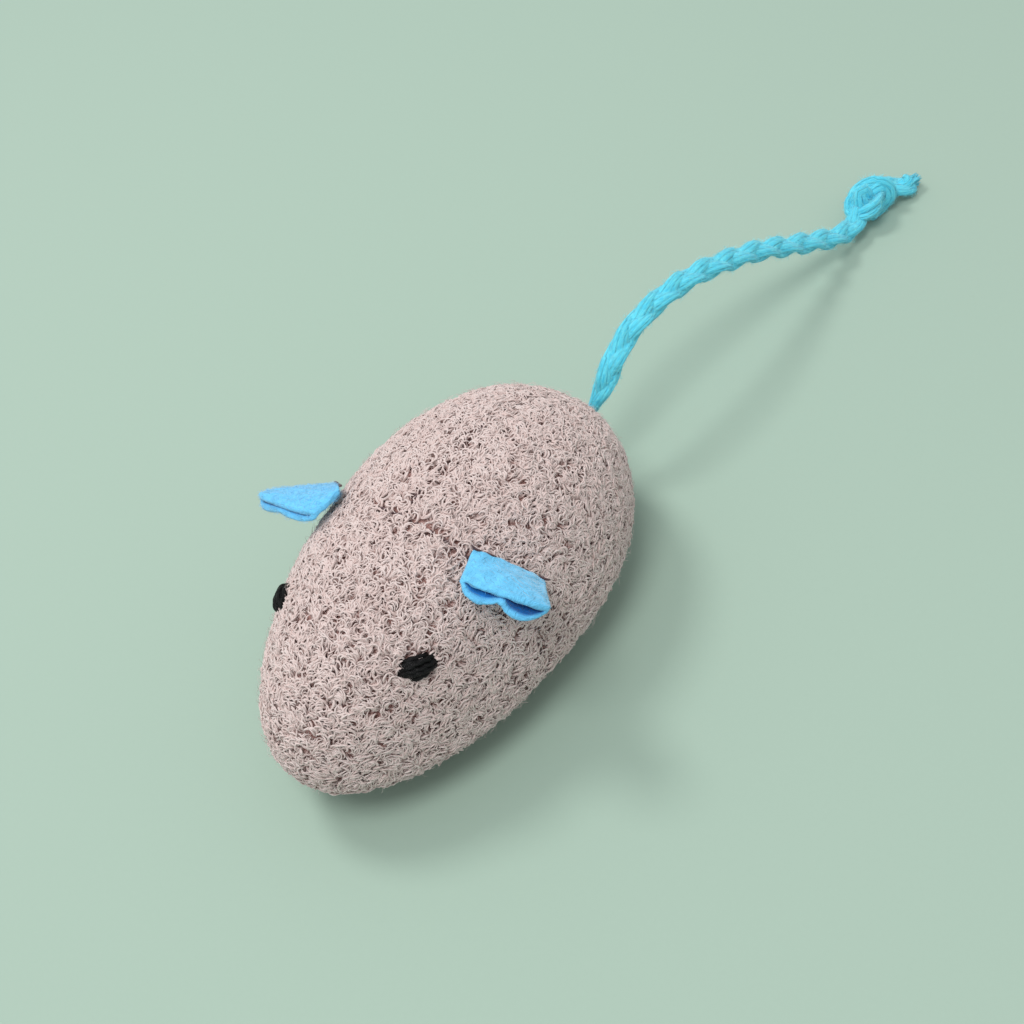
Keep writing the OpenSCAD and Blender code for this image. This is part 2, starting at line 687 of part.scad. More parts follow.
module casing_upper() {
  color(casing_colour) difference() {
    union() {
      difference() {
        case_block();
        case_hollow(case_z - 1, ceiling_z);
        translate([-case_l, -case_w, cord_z - case_h]) cube([2 * case_l, 2 * case_w, case_h]);
      }
      for (at = arbors) lift(at, ceiling_z - boss_h)
        cylinder(r = boss_r, h = boss_h + small_gap, $fn = 48);
      for (s = screws) lift(s, cord_z)
        cylinder(r = post_r, h = ceiling_z - cord_z + small_gap, $fn = 48);
    }
    arbor_bores();
    cord_hole();
    for (s = screws) lift(s, cord_z - 1)
      cylinder(r = screw_d / 2 + hair, h = screw_high + screw_end_room - cord_z + 1, $fn = 32);
  }
}
module casing_screws() {
  low = case_z + screw_sunk;
  head_z = low + screw_head_h;
  color(steel_colour) for (s = screws) difference() {
    union() {
      lift(s, low) cylinder(r = screw_head_r, h = screw_head_h, $fn = 32);
      lift(s, head_z - small_gap) cylinder(d = screw_d, h = screw_high - head_z + small_gap, $fn = 32);
    }
    for (turn = [0, 90]) lift(s, low - 1) rotate(turn)
      translate([-slot_l / 2, -slot_w / 2, 0]) cube([slot_l, slot_w, slot_depth + 1]);
  }
}
module cord_bush() {
  color(brass_colour) along_x(-case_l / 2 - bush_out) difference() {
    cylinder(r = bush_r, h = case_wall + 2 * bush_out, $fn = 48);
    translate([0, 0, -1]) cylinder(r = cord_d / 2 + small_gap, h = case_wall + 3, $fn = 32);
  }
}

head_panel();
back_panel_left();
back_panel_right();
belly_panel();
ear_left();
ear_right();
eye_left();
eye_right();
thread_back_seam();
thread_cross_seam();
thread_belly_left();
thread_belly_right();
stuffing_head();
stuffing_middle();
stuffing_rump();
tail_bush();
tail_braid();
tail_knot();
tail_tip();
pull_cord();
casing_lower();
casing_upper();
casing_screws();
cord_bush();
mainspring();
drum_core();
drum_wheel();
drum_arbor();
cord_turns();
idler_gear();
idler_arbor();
eccentric_pinion();
eccentric_weight();
eccentric_arbor();
thrust_washers();
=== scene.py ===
"""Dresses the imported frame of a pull-tail toy mouse in fleece, felt, thread and braided yarn."""
import math

import bmesh
import bpy
import numpy as np
from bpy.props import FloatProperty, FloatVectorProperty, IntProperty, PointerProperty
from mathutils import Matrix, Vector


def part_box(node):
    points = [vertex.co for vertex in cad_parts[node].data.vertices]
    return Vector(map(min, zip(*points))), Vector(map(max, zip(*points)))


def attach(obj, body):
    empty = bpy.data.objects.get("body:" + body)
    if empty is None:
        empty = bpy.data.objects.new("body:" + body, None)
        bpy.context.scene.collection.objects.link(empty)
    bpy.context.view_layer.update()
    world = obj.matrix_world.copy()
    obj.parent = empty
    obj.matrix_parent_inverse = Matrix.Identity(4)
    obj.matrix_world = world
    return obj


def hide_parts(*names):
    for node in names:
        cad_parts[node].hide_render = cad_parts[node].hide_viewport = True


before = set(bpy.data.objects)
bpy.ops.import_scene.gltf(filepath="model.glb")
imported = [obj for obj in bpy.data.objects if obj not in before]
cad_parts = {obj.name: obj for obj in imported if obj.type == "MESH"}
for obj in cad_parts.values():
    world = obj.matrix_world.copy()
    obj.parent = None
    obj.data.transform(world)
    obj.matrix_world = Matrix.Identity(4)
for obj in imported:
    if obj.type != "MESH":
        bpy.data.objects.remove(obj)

bl_info = {
    "name": "Pull-tail fleece mouse",
    "version": (1, 0, 0),
    "blender": (4, 5, 0),
    "location": "3D View > Sidebar > Mouse",
    "description": "Fleece, felt, thread and yarn around the frame of a pull-tail toy mouse",
    "category": "Object",
}

MM = 0.001
FULL_TURN = 2 * math.pi
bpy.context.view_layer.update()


def cad_size(node, corner, axis):
    """One coordinate of a CAD node's box, in millimetres, to the nearest tenth."""
    return round(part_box(node)[corner][axis] / MM, 1)


# ------------------------------------------------------------------ settings
def length(name, description, value, top=0.2):
    """A size property, written in millimetres and kept in metres."""
    return FloatProperty(name=name, description=description, default=value * MM,
                         min=0, max=top, precision=5, subtype="DISTANCE", unit="LENGTH")


def angle(name, description, degrees):
    """An angle property, written in degrees."""
    return FloatProperty(name=name, description=description, default=math.radians(degrees),
                         min=-FULL_TURN, max=FULL_TURN, subtype="ANGLE", unit="ROTATION")


def colour(name, description, red, green, blue):
    """A colour property, written as it looks on a screen, from 0 to 255."""
    return FloatVectorProperty(name=name, description=description, size=3, min=0, max=1,
                               default=tuple(linear(c) for c in (red, green, blue)),
                               subtype="COLOR")


def linear(shown):
    """A screen value from 0 to 255 as linear light."""
    c = shown / 255
    return c / 12.92 if c <= 0.04045 else ((c + 0.055) / 1.055) ** 2.4


def share(name, description, value, top=1.0):
    """A plain number."""
    return FloatProperty(name=name, description=description, default=value, min=0, max=top,
                         subtype="FACTOR")


class MouseBodySettings(bpy.types.PropertyGroup):
    """Outline of the stuffed body, as the frame has it."""

    length: length("Body length", "From rump to nose", 2 * cad_size("head_panel", 1, 0))
    width: length("Body width", "At the widest place", 2 * cad_size("back_panel_left", 1, 1))
    height: length("Body height", "Over the back", cad_size("back_panel_left", 1, 2))
    rump_height: length("Rump height", "Of the rump's end over the ground", 12.8)
    nose_height: length("Nose height", "Of the nose over the ground", 11.2)
    seam_place: length("Cross seam", "In front of the middle", 3.5)
    belly_angle: angle("Belly angle", "From the top to the belly panel's edge", 110)
    backing_depth: length("Backing depth", "Of the knitted backing under the pile's tips", 1.3)
    backing_thickness: length("Backing thickness", "Of the knitted backing", 0.6)


class MouseFleeceSettings(bpy.types.PropertyGroup):
    """Curly pile of the fleece."""

    pile_height: length("Pile height", "Of a tuft's back over the backing", 1.05)
    lock_length: length("Tuft length", "Along a curled tuft", 2.05)
    fibre_radius: length("Tuft radius", "Of one tuft at its root", 0.2)
    lock_size: length("Lock size", "Width of one lock of tufts", 0.9)
    curl: angle("Curl", "How far a tuft turns along its length", 205)
    density: share("Density", "Tufts on a square millimetre", 6.6, 20)
    belly_density: share("Belly density", "Tufts on a square millimetre of the belly", 2.6, 20)
    gather: share("Gather", "How far the tips of a lock draw together", 0.12)
    disorder: share("Disorder", "How much each tuft leaves its lock's direction", 0.75)
    stray_density: share("Stray fibres", "On a square millimetre", 0.9, 4)
    # Painted light and shade along each tuft: the tip colour is the lit colour, and the middle and
    # root colours are darker as painted shade deep in the pile.
    tip: colour("Tip colour", "Where the light reaches the pile", 219, 202, 197)
    middle: colour("Middle colour", "Half way down a tuft", 210, 186, 180)
    root: colour("Root colour", "Deep in the pile", 196, 154, 146)
    # Backing colour: darker than the pile, and its darkness is painted shade in the gaps between
    # the tufts.
    backing: colour("Backing colour", "Knitted ground", 186, 142, 134)


class MouseFeltSettings(bpy.types.PropertyGroup):
    """Felt of the ears."""

    layer: length("Felt layer", "Thickness of one layer", 0.95)
    inner_mouth: length("Inner pocket", "Opening of the fold next to the head", 1.0)
    droop: angle("Droop", "How far the right ear hangs lower", 14)
    reach: length("Right ear reach", "How much wider the right ear's free edge is", 2.4)
    outer_mouth: length("Outer pocket", "Opening of the outer fold", 1.35)
    face: colour("Felt colour", "Smooth side", 112, 204, 250)
    # Fold colour: the same felt, painted darker inside the folds as painted shade.
    deep: colour("Fold colour", "Inside of the folds", 20, 112, 190)


class MouseEyeSettings(bpy.types.PropertyGroup):
    """Embroidered eyes."""

    place: length("Eye place", "In front of the middle", 17.8)
    angle: angle("Eye angle", "From the top", 47)
    tilt: angle("Eye tilt", "Of its long axis", -26)
    length: length("Eye length", "Along the stitches", 5.2)
    width: length("Eye width", "Across the stitches", 3.2)
    thread_radius: length("Thread radius", "Of the black embroidery thread", 0.36)
    thread: colour("Thread colour", "Black embroidery thread", 13, 12, 13)


class MouseTailSettings(bpy.types.PropertyGroup):
    """Braided tail, its knot and its brushed end."""

    width: length("Braid width", "Across the braid", 3.75)
    root_width: length("Root width", "Where the braid gathers at the rump", 1.8)
    lay: length("Lay", "Length in which a strand comes back to its place", 18.5)
    strand_width: length("Strand width", "Across the flat of one strand", 2.15)
    strand_depth: length("Strand depth", "Through one strand", 1.45)
    knot_scale: length("Knot size", "Step of the knot's loops", 1.15)
    yarn: colour("Yarn colour", "Side that catches the light", 134, 248, 255)
    yarn_deep: colour("Yarn shade", "Between the fibres", 24, 186, 230)


class MouseSewingSettings(bpy.types.PropertyGroup):
    """Seam threads."""

    stitch: length("Stitch length", "Of one stitch in a seam", 1.7)
    gap: length("Stitch gap", "Between two stitches", 0.3)
    radius: length("Thread radius", "Of the sewing thread", 0.19)
    # Dark brown, so that the seams and the ears' bases show as dark lines. The colour is partly the
    # thread's own and partly painted shade of the seam partings and under the ears' edges.
    thread: colour("Thread colour", "Sewing thread", 84, 54, 58)


class MouseWorksSettings(bpy.types.PropertyGroup):
    """Finishes of the wind-up works."""

    casing: colour("Casing", "Moulded polystyrene", 226, 224, 214)
    acetal: colour("Drum", "Moulded acetal", 240, 238, 228)
    brass: colour("Brass", "Cut gears", 212, 176, 96)
    steel: colour("Steel", "Arbors, screws and spring", 172, 176, 180)
    bush: colour("Tail bush", "Moulded in the fleece's colour", 150, 116, 110)
    cord: colour("Cord", "Pull cord", 96, 186, 214)
    wadding: colour("Wadding", "Polyester stuffing", 240, 240, 236)


class MouseStageSettings(bpy.types.PropertyGroup):
    """Floor, lights and camera."""

    floor: colour("Floor colour", "Plain pale ground", 161, 182, 167)
    key: share("Key light", "Power in watts", 2.25, 100)
    fill: share("Second light", "Power in watts", 2.05, 100)
    sky: share("Sky light", "Strength of the surroundings", 0.64, 10)
    lens: length("Lens", "Focal length of the camera", 54.1)


# ------------------------------------------------------------------ node writing
class Graph:
    """Short calls that write a node tree."""

    def __init__(self, tree):
        self.tree = tree

    def node(self, kind, inputs=None, **settings):
        made = self.tree.nodes.new(kind)
        for name, value in settings.items():
            setattr(made, name, value)
        for key, value in (inputs or {}).items():
            self.feed(made.inputs[key], value)
        return made

    def feed(self, socket, value):
        if isinstance(value, bpy.types.NodeSocket):
            self.tree.links.new(value, socket)
        else:
            socket.default_value = value

    def math(self, operation, *values, clamp=False):
        made = self.node("ShaderNodeMath", operation=operation, use_clamp=clamp)
        for i, value in enumerate(values):
            self.feed(made.inputs[i], value)
        return made.outputs[0]

    def plus(self, first, second):
        return self.math("ADD", first, second)

    def minus(self, first, second):
        return self.math("SUBTRACT", first, second)

    def times(self, first, second, clamp=False):
        return self.math("MULTIPLY", first, second, clamp=clamp)

    def vector(self, operation, *values):
        made = self.node("ShaderNodeVectorMath", operation=operation)
        for i, value in enumerate(values):
            self.feed(made.inputs[3 if operation == "SCALE" and i else i], value)
        return made.outputs[1 if operation in ("DOT_PRODUCT", "LENGTH") else 0]

    def add(self, *values):
        total = values[0]
        for value in values[1:]:
            total = self.vector("ADD", total, value)
        return total

    def mix(self, factor, first, second):
        made = self.node("ShaderNodeMix", data_type="RGBA")
        for i, value in ((0, factor), (6, first), (7, second)):
            self.feed(made.inputs[i], value)
        return made.outputs[2]

    def noise(self, vector, scale, detail=2.0, roughness=0.5):
        return self.node("ShaderNodeTexNoise", {"Vector": vector, "Scale": scale, "Detail": detail,
                                                "Roughness": roughness}).outputs[0]

    def bump(self, height, distance, strength=1.0):
        return self.node("ShaderNodeBump", {"Height": height, "Distance": distance,
                                            "Strength": strength}).outputs[0]

    def ramp(self, factor, *stops):
        made = self.node("ShaderNodeValToRGB", {"Fac": factor})
        band = made.color_ramp
        while len(band.elements) < len(stops):
            band.elements.new(0.5)
        for element, (place, shade) in zip(band.elements, stops):
            element.position = place
            element.color = (*shade, 1) if hasattr(shade, "__len__") else (shade,) * 3 + (1,)
        return made.outputs[0]


def sockets(tree, inputs, outputs):
    """Gives a node group its named inputs, each with its default, and its outputs."""
    for name, kind, value in inputs:
        made = tree.interface.new_socket(name, in_out="INPUT", socket_type="NodeSocket" + kind)
        if value is not None:
            made.default_value = value
    for name, kind in outputs:
        tree.interface.new_socket(name, in_out="OUTPUT", socket_type="NodeSocket" + kind)
    g = Graph(tree)
    return g, g.node("NodeGroupInput").outputs, g.node("NodeGroupOutput").inputs


# ------------------------------------------------------------------ geometry nodes
def pile_tree():
    """Fibres that grow from a surface in curled locks, and lie away from the seams."""
    tree = bpy.data.node_groups.new("Curly pile", "GeometryNodeTree")
    g, given, out = sockets(tree, (
        ("Geometry", "Geometry", None), ("Density", "Float", 6e6), ("Length", "Float", 0.002),
        ("Height", "Float", 0.0012), ("Radius", "Float", 0.0001), ("Curl", "Float", 2.0),
        ("Lock Size", "Float", 0.0011), ("Gather", "Float", 0.5), ("Disorder", "Float", 0.3),
        ("Droop", "Float", 0.75), ("Segments", "Int", 4), ("Sides", "Int", 3), ("Seed", "Int", 1),
        ("Material", "Material", None)), (("Geometry", "Geometry"),))

    def random(kind, low, high, step):
        made = g.node("FunctionNodeRandomValue", data_type=kind)
        first = 0 if kind == "FLOAT_VECTOR" else 2
        g.feed(made.inputs[first], low)
        g.feed(made.inputs[first + 1], high)
        g.feed(made.inputs["Seed"], g.plus(given["Seed"], step))
        return made.outputs[0 if kind == "FLOAT_VECTOR" else 1]

    def named(name, kind="FLOAT_VECTOR"):
        made = g.node("GeometryNodeInputNamedAttribute", {"Name": name}, data_type=kind)
        return made.outputs["Attribute"]

    def store(geometry, name, value, kind="FLOAT_VECTOR"):
        made = g.node("GeometryNodeStoreNamedAttribute", data_type=kind, domain="POINT")
        g.feed(made.inputs["Geometry"], geometry)
        g.feed(made.inputs["Name"], name)
        g.feed(made.inputs["Value"], value)
        return made.outputs["Geometry"]

    spread = g.node("GeometryNodeDistributePointsOnFaces", distribute_method="RANDOM")
    g.feed(spread.inputs["Mesh"], given["Geometry"])
    g.feed(spread.inputs["Density"],
           g.times(given["Density"], named("cover", "FLOAT")))
    g.feed(spread.inputs["Seed"], given["Seed"])
    normal = spread.outputs["Normal"]
    place = g.node("GeometryNodeInputPosition").outputs[0]

    # Fibres of one cell share a lean, a turn and a height, so that they make a lock.
    scaled = g.vector("SCALE", place, g.math("DIVIDE", 1.0, given["Lock Size"]))
    cells = g.node("ShaderNodeTexVoronoi", {"Vector": scaled, "Scale": 1.0},
                   voronoi_dimensions="3D", feature="F1")
    cell = g.node("ShaderNodeSeparateXYZ", {0: cells.outputs["Color"]}).outputs
    centre = g.vector("SCALE", cells.outputs["Position"], given["Lock Size"])

    def flat(v):
        """The part of v along the surface."""
        outward = g.vector("SCALE", normal, g.vector("DOT_PRODUCT", v, normal))
        return g.vector("SUBTRACT", v, outward)

    way = g.vector("SUBTRACT", cells.outputs["Color"], (0.5, 0.5, 0.5))
    lean = g.vector("NORMALIZE", flat(way))
    stray = g.vector("SCALE", random("FLOAT_VECTOR", (-1, -1, -1), (1, 1, 1), 1), given["Disorder"])
    away = named("away")
    lean = g.vector("NORMALIZE", flat(g.add(lean, stray, away)))
    parted = g.math("MINIMUM", g.vector("LENGTH", away), 1.0)
    size = g.times(given["Length"], random("FLOAT", 0.72, 1.25, 2))
    size = g.times(size, g.minus(1.0, g.times(parted, 0.25)))
    size = g.times(size, named("longer", "FLOAT"))
    turn = g.times(given["Curl"], g.times(random("FLOAT", 0.55, 1.2, 3),
                  g.math("SIGN", g.minus(cell["Y"], 0.5))))
    turn = g.times(turn, g.minus(1.0, g.times(parted, 0.5)))
    high = g.times(given["Height"],
                  g.plus(0.72, g.times(cell["Z"], 0.32)))
    high = g.times(high, random("FLOAT", 0.86, 1.1, 4))
    high = g.times(high, g.minus(1.0, g.times(parted, 0.22)))
    tint = g.plus(g.times(cell["X"], 0.5), random("FLOAT", 0.0, 0.5, 5))

    points = spread.outputs["Points"]
    for name, value in (("p_root", place), ("p_normal", normal), ("p_lean", lean),
                        ("p_in", flat(g.vector("SUBTRACT", centre, place)))):
        points = store(points, name, value)
    for name, value in (("p_size", size), ("p_turn", turn), ("p_high", high), ("tint", tint),
                        ("p_wide", random("FLOAT", 0.7, 1.25, 6))):
        points = store(points, name, value, "FLOAT")

    line = g.node("GeometryNodeCurvePrimitiveLine").outputs["Curve"]
    line = g.node("GeometryNodeResampleCurve", {
        "Curve": line, "Count": g.plus(given["Segments"], 1)}).outputs["Curve"]
    fibres = g.node("GeometryNodeInstanceOnPoints", {"Points": points, "Instance": line})
    fibres = g.node("GeometryNodeRealizeInstances", {"Geometry": fibres.outputs[0]}).outputs[0]

    t = g.node("GeometryNodeSplineParameter").outputs["Factor"]
    normal, lean, turn, size = (named("p_normal"), named("p_lean"), named("p_turn", "FLOAT"),
                                named("p_size", "FLOAT"))
    arc = g.times(turn, t)
    step = g.math("DIVIDE", size, turn)
    ahead = g.vector("SCALE", lean, g.times(step, g.math("SINE", arc)))
    aside = g.vector("SCALE", g.vector("CROSS_PRODUCT", normal, lean),
                     g.times(step, g.minus(1.0, g.math("COSINE", arc))))
    lift = g.math("SINE", g.times(g.times(t, given["Droop"]), math.pi))
    up = g.vector("SCALE", normal, g.times(named("p_high", "FLOAT"), lift))
    inward = g.vector("SCALE", named("p_in"), g.times(t, given["Gather"]))
    curled = g.add(named("p_root"), ahead, aside, up, inward)
    fibres = g.node("GeometryNodeSetPosition", {
        "Geometry": fibres, "Position": curled}).outputs[0]
    fibres = store(fibres, "along", t, "FLOAT")
    slim = g.minus(1.0, g.times(g.math("POWER", t, 2.0), 0.72))
    thick = g.times(g.times(given["Radius"], slim), named("p_wide", "FLOAT"))
    fibres = g.node("GeometryNodeSetCurveRadius", {"Curve": fibres, "Radius": thick}).outputs[0]
    ring = g.node("GeometryNodeCurvePrimitiveCircle", {"Resolution": given["Sides"], "Radius": 1.0},
                  mode="RADIUS").outputs[0]
    tube = g.node("GeometryNodeCurveToMesh", {"Curve": fibres, "Profile Curve": ring,
                                              "Fill Caps": True})
    if "Scale" in tube.inputs:
        g.feed(tube.inputs["Scale"], thick)
    geometry = g.node("GeometryNodeSetShadeSmooth", {"Geometry": tube.outputs[0]}).outputs[0]
    geometry = g.node("GeometryNodeRealizeInstances", {"Geometry": geometry}).outputs[0]
    geometry = g.node("GeometryNodeSetMaterial", {
        "Geometry": geometry, "Material": given["Material"]}).outputs[0]
    g.feed(out["Geometry"], geometry)
    return tree


def stitch_tree():
    """Stitches that follow a line, each one a short twisted length of thread."""
    tree = bpy.data.node_groups.new("Stitch run", "GeometryNodeTree")
    g, given, out = sockets(tree, (
        ("Geometry", "Geometry", None), ("Stitch", "Float", 0.0017), ("Gap", "Float", 0.0005),
        ("Radius", "Float", 0.00016), ("Seed", "Int", 1), ("Material", "Material", None)),
        (("Geometry", "Geometry"),))
    path = g.node("GeometryNodeMeshToCurve", {"Mesh": given["Geometry"]}).outputs[0]
    pitch = g.plus(given["Stitch"], given["Gap"])
    places = g.node("GeometryNodeCurveToPoints", {"Curve": path, "Length": pitch}, mode="LENGTH")
    half = g.times(given["Stitch"], 0.5)
    back = g.node("ShaderNodeCombineXYZ", {"Z": g.times(half, -1.0)}).outputs[0]
    front = g.node("ShaderNodeCombineXYZ", {"Z": half}).outputs[0]
    line = g.node("GeometryNodeCurvePrimitiveLine", {"Start": back, "End": front}).outputs[0]
    line = g.node("GeometryNodeResampleCurve", {"Curve": line, "Count": 6}).outputs[0]
    t = g.node("GeometryNodeSplineParameter").outputs["Factor"]
    arch = g.math("SINE", g.times(t, math.pi))
    shift = g.node("ShaderNodeCombineXYZ", {
        "X": g.times(g.times(arch, given["Radius"]), 1.2)}).outputs[0]
    line = g.node("GeometryNodeSetPosition", {"Geometry": line, "Offset": shift}).outputs[0]
    slim = g.plus(0.35, g.times(g.math("POWER", arch, 0.5), 0.65))
    thick = g.times(slim, given["Radius"])
    line = g.node("GeometryNodeSetCurveRadius", {"Curve": line, "Radius": thick}).outputs[0]
    ring = g.node("GeometryNodeCurvePrimitiveCircle", {"Resolution": 6, "Radius": 1.0},
                  mode="RADIUS").outputs[0]
    tube = g.node("GeometryNodeCurveToMesh", {"Curve": line, "Profile Curve": ring,
                                              "Fill Caps": True})
    if "Scale" in tube.inputs:
        g.feed(tube.inputs["Scale"], thick)
    wobble = g.node("FunctionNodeRandomValue", data_type="FLOAT_VECTOR")
    g.feed(wobble.inputs[0], (-0.12, -0.12, -0.5))
    g.feed(wobble.inputs[1], (0.12, 0.12, 0.5))
    g.feed(wobble.inputs["Seed"], given["Seed"])
    turned = g.node("FunctionNodeRotateRotation", {
        0: places.outputs["Rotation"], 1: wobble.outputs[0]}, rotation_space="LOCAL")
    row = g.node("GeometryNodeInstanceOnPoints", {
        "Points": places.outputs["Points"], "Instance": tube.outputs[0],
        "Rotation": turned.outputs[0]}).outputs[0]
    row = g.node("GeometryNodeRealizeInstances", {"Geometry": row}).outputs[0]
    row = g.node("GeometryNodeSetShadeSmooth", {"Geometry": row}).outputs[0]
    row = g.node("GeometryNodeSetMaterial", {
        "Geometry": row, "Material": given["Material"]}).outputs[0]
    g.feed(out["Geometry"], row)
    return tree


def grown(ground, tree, name, **values):
    """The plain mesh object that a node tree makes of the ground object."""
    tree = bpy.data.node_groups.get(tree) or {"Curly pile": pile_tree,
                                              "Stitch run": stitch_tree}[tree]()
    modifier = ground.modifiers.new("Growth", "NODES")
    modifier.node_group = tree
    sizes = {key.replace("_", " ").title(): value for key, value in values.items()}
    for item in tree.interface.items_tree:
        if item.item_type == "SOCKET" and item.in_out == "INPUT" and item.name in sizes:
            modifier[item.identifier] = sizes[item.name]
    depsgraph = bpy.context.evaluated_depsgraph_get()
    mesh = bpy.data.meshes.new_from_object(ground.evaluated_get(depsgraph), depsgraph=depsgraph)
    ground.modifiers.remove(modifier)
    for attribute in [a.name for a in mesh.attributes if a.name.startswith("p_")]:
        mesh.attributes.remove(mesh.attributes[attribute])
    mesh.name = name
    made = linked(name, mesh)
    if not mesh.polygons:
        raise RuntimeError(f"{name}: the node tree made nothing")
    return made


# ------------------------------------------------------------------ mesh writing
def linked(name, data):
    """A new object in the scene."""
    made = bpy.data.objects.new(name, data)
    bpy.context.scene.collection.objects.link(made)
    return made


def solid(name, points, faces, material=None, smooth=True, uv=None):
    """A mesh object from points in millimetres."""
    mesh = bpy.data.meshes.new(name)
    mesh.from_pydata((np.asarray(points, float) * MM).tolist(), [], [list(f) for f in faces])
    mesh.update()
    if smooth:
        mesh.shade_smooth()
    if uv is not None:
        layer = mesh.uv_layers.new(name="along")
        flat = np.asarray(uv, np.float32)[[v for f in faces for v in f]]
        layer.data.foreach_set("uv", flat.ravel())
    if material:
        mesh.materials.append(material)
    made = linked(name, mesh)
    return made


def values(made, name, numbers):
    """Stores one number, or one direction, for each point of a mesh."""
    numbers = np.ascontiguousarray(numbers, np.float32).ravel()
    single = len(numbers) == len(made.data.vertices)
    kind, field = ("FLOAT", "value") if single else ("FLOAT_VECTOR", "vector")
    made.data.attributes.new(name, kind, "POINT").data.foreach_set(field, numbers)


def discard(made):
    """Removes a working object and its mesh."""
    mesh = made.data
    bpy.data.objects.remove(made)
    bpy.data.meshes.remove(mesh)


def put(made, body, slot, *nodes):
    """Rides a piece on its body and hides the CAD nodes that it stands for. Its slot is not used.
    """
    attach(made, body)
    if nodes:
        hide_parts(*nodes)
    return made


def unit(v):
    v = np.asarray(v, float)
    return v / np.maximum(np.linalg.norm(v, axis=-1, keepdims=True), 1e-12)


def smooth_step(low, high, value):
    t = np.clip((value - low) / (high - low), 0, 1)
    return t * t * (3 - 2 * t)


def smooth_line(points, step):
    """A smooth line through the points (Catmull-Rom), resampled at an even step."""
    p = np.asarray(points, float)
    p = np.vstack([2 * p[0] - p[1], p, 2 * p[-1] - p[-2]])
    t = np.linspace(0, 1, 24, endpoint=False)[:, None]
    fine = [0.5 * (2 * b + (c - a) * t + (2 * a - 5 * b + 4 * c - d) * t**2
                   + (3 * b - a - 3 * c + d) * t**3)
            for a, b, c, d in zip(p, p[1:], p[2:], p[3:])]
    return even_line(np.vstack(fine + [p[-2:-1]]), step)


def run_along(line):
    """Length of a line up to each of its points."""
    return np.concatenate([[0], np.cumsum(np.linalg.norm(np.diff(line, axis=0), axis=1))])


def even_line(line, step):
    """The same line with points at an even step."""
    run = run_along(line)
    places = np.linspace(0, run[-1], max(3, int(round(run[-1] / step)) + 1))
    return np.stack([np.interp(places, run, line[:, k]) for k in range(3)], 1)


def frames(line, first_up):
    """Tangent, side and up directions along a line, carried without twist."""
    tangent = unit(np.gradient(line, axis=0))
    up = np.zeros_like(line)
    up[0] = unit(first_up - tangent[0] * np.dot(first_up, tangent[0]))
    for i in range(1, len(line)):
        v = up[i - 1] - tangent[i] * np.dot(up[i - 1], tangent[i])
        up[i] = unit(v)
    return tangent, np.cross(up, tangent), up


def ring_faces(rings, around):
    """Quads between closed rings of points, and a fan at each end round one point more."""
    a = np.arange(rings - 1)[:, None] * around + np.arange(around)
    b = np.arange(rings - 1)[:, None] * around + (np.arange(around) + 1) % around
    faces = np.stack([a, b, b + around, a + around], -1).reshape(-1, 4).tolist()
    first, last = rings * around, (rings - 1) * around
    faces += [(first, (j + 1) % around, j) for j in range(around)]
    faces += [(first + 1, last + j, last + (j + 1) % around) for j in range(around)]
    return faces


def grid_faces(rows, cols):
    """The numbers of a grid's points, and its quads."""
    grid = np.arange((rows + 1) * (cols + 1)).reshape(rows + 1, cols + 1)
    return grid, np.stack([grid[:-1, :-1], grid[1:, :-1], grid[1:, 1:], grid[:-1, 1:]],
                          -1).reshape(-1, 4)


def tube(line, side, up, width, depth, sides, relief=None):
    """Points, faces and UVs of a closed tube whose section is an ellipse with a relief."""
    n = len(line)
    theta = np.arange(sides) * FULL_TURN / sides
    run = run_along(line)
    bulge = np.ones((n, sides)) if relief is None else relief(run[:, None], theta[None, :])
    width = np.broadcast_to(width, n)[:, None]
    depth = np.broadcast_to(depth, n)[:, None]
    ring = (line[:, None] + (np.cos(theta) * width * bulge / 2)[..., None] * side[:, None]
            + (np.sin(theta) * depth * bulge / 2)[..., None] * up[:, None])
    points = np.vstack([ring.reshape(-1, 3), line[:1], line[-1:]])
    around = np.minimum(theta, FULL_TURN - theta) / math.pi
    uv = np.stack([np.broadcast_to(run[:, None], (n, sides)),
                   np.broadcast_to(around, (n, sides))], -1).reshape(-1, 2)
    return points, ring_faces(n, sides), np.vstack([uv, [[0, 0]], [[run[-1], 0]]])


def joined(parts):
    """Several (points, faces, uv) as one."""
    points, faces, uv, base = [], [], [], 0
    for p, f, u in parts:
        points.append(p)
        uv.append(u)
        faces += [tuple(v + base for v in face) for face in f]
        base += len(p)
    return np.vstack(points), faces, np.vstack(uv)


# ------------------------------------------------------------------ body outline
def body():
    return bpy.context.scene.mouse_body


def taper(x, middle, back_power, back_root, front_power, front_root):
    half = body().length / MM / 2
    behind = np.clip((middle - x) / (middle + half), 0, 1)
    ahead = np.clip((x - middle) / (half - middle), 0, 1)
    return np.where(x < middle,
                    np.maximum(1 - behind**back_power, 0) ** (1 / back_root),
                    np.maximum(1 - ahead**front_power, 0) ** (1 / front_root))


def spine(x):
    b = body()
    t = (x + b.length / MM / 2) / (b.length / MM)
    return (b.rump_height + (b.nose_height - b.rump_height) * t * t * (3 - 2 * t)) / MM


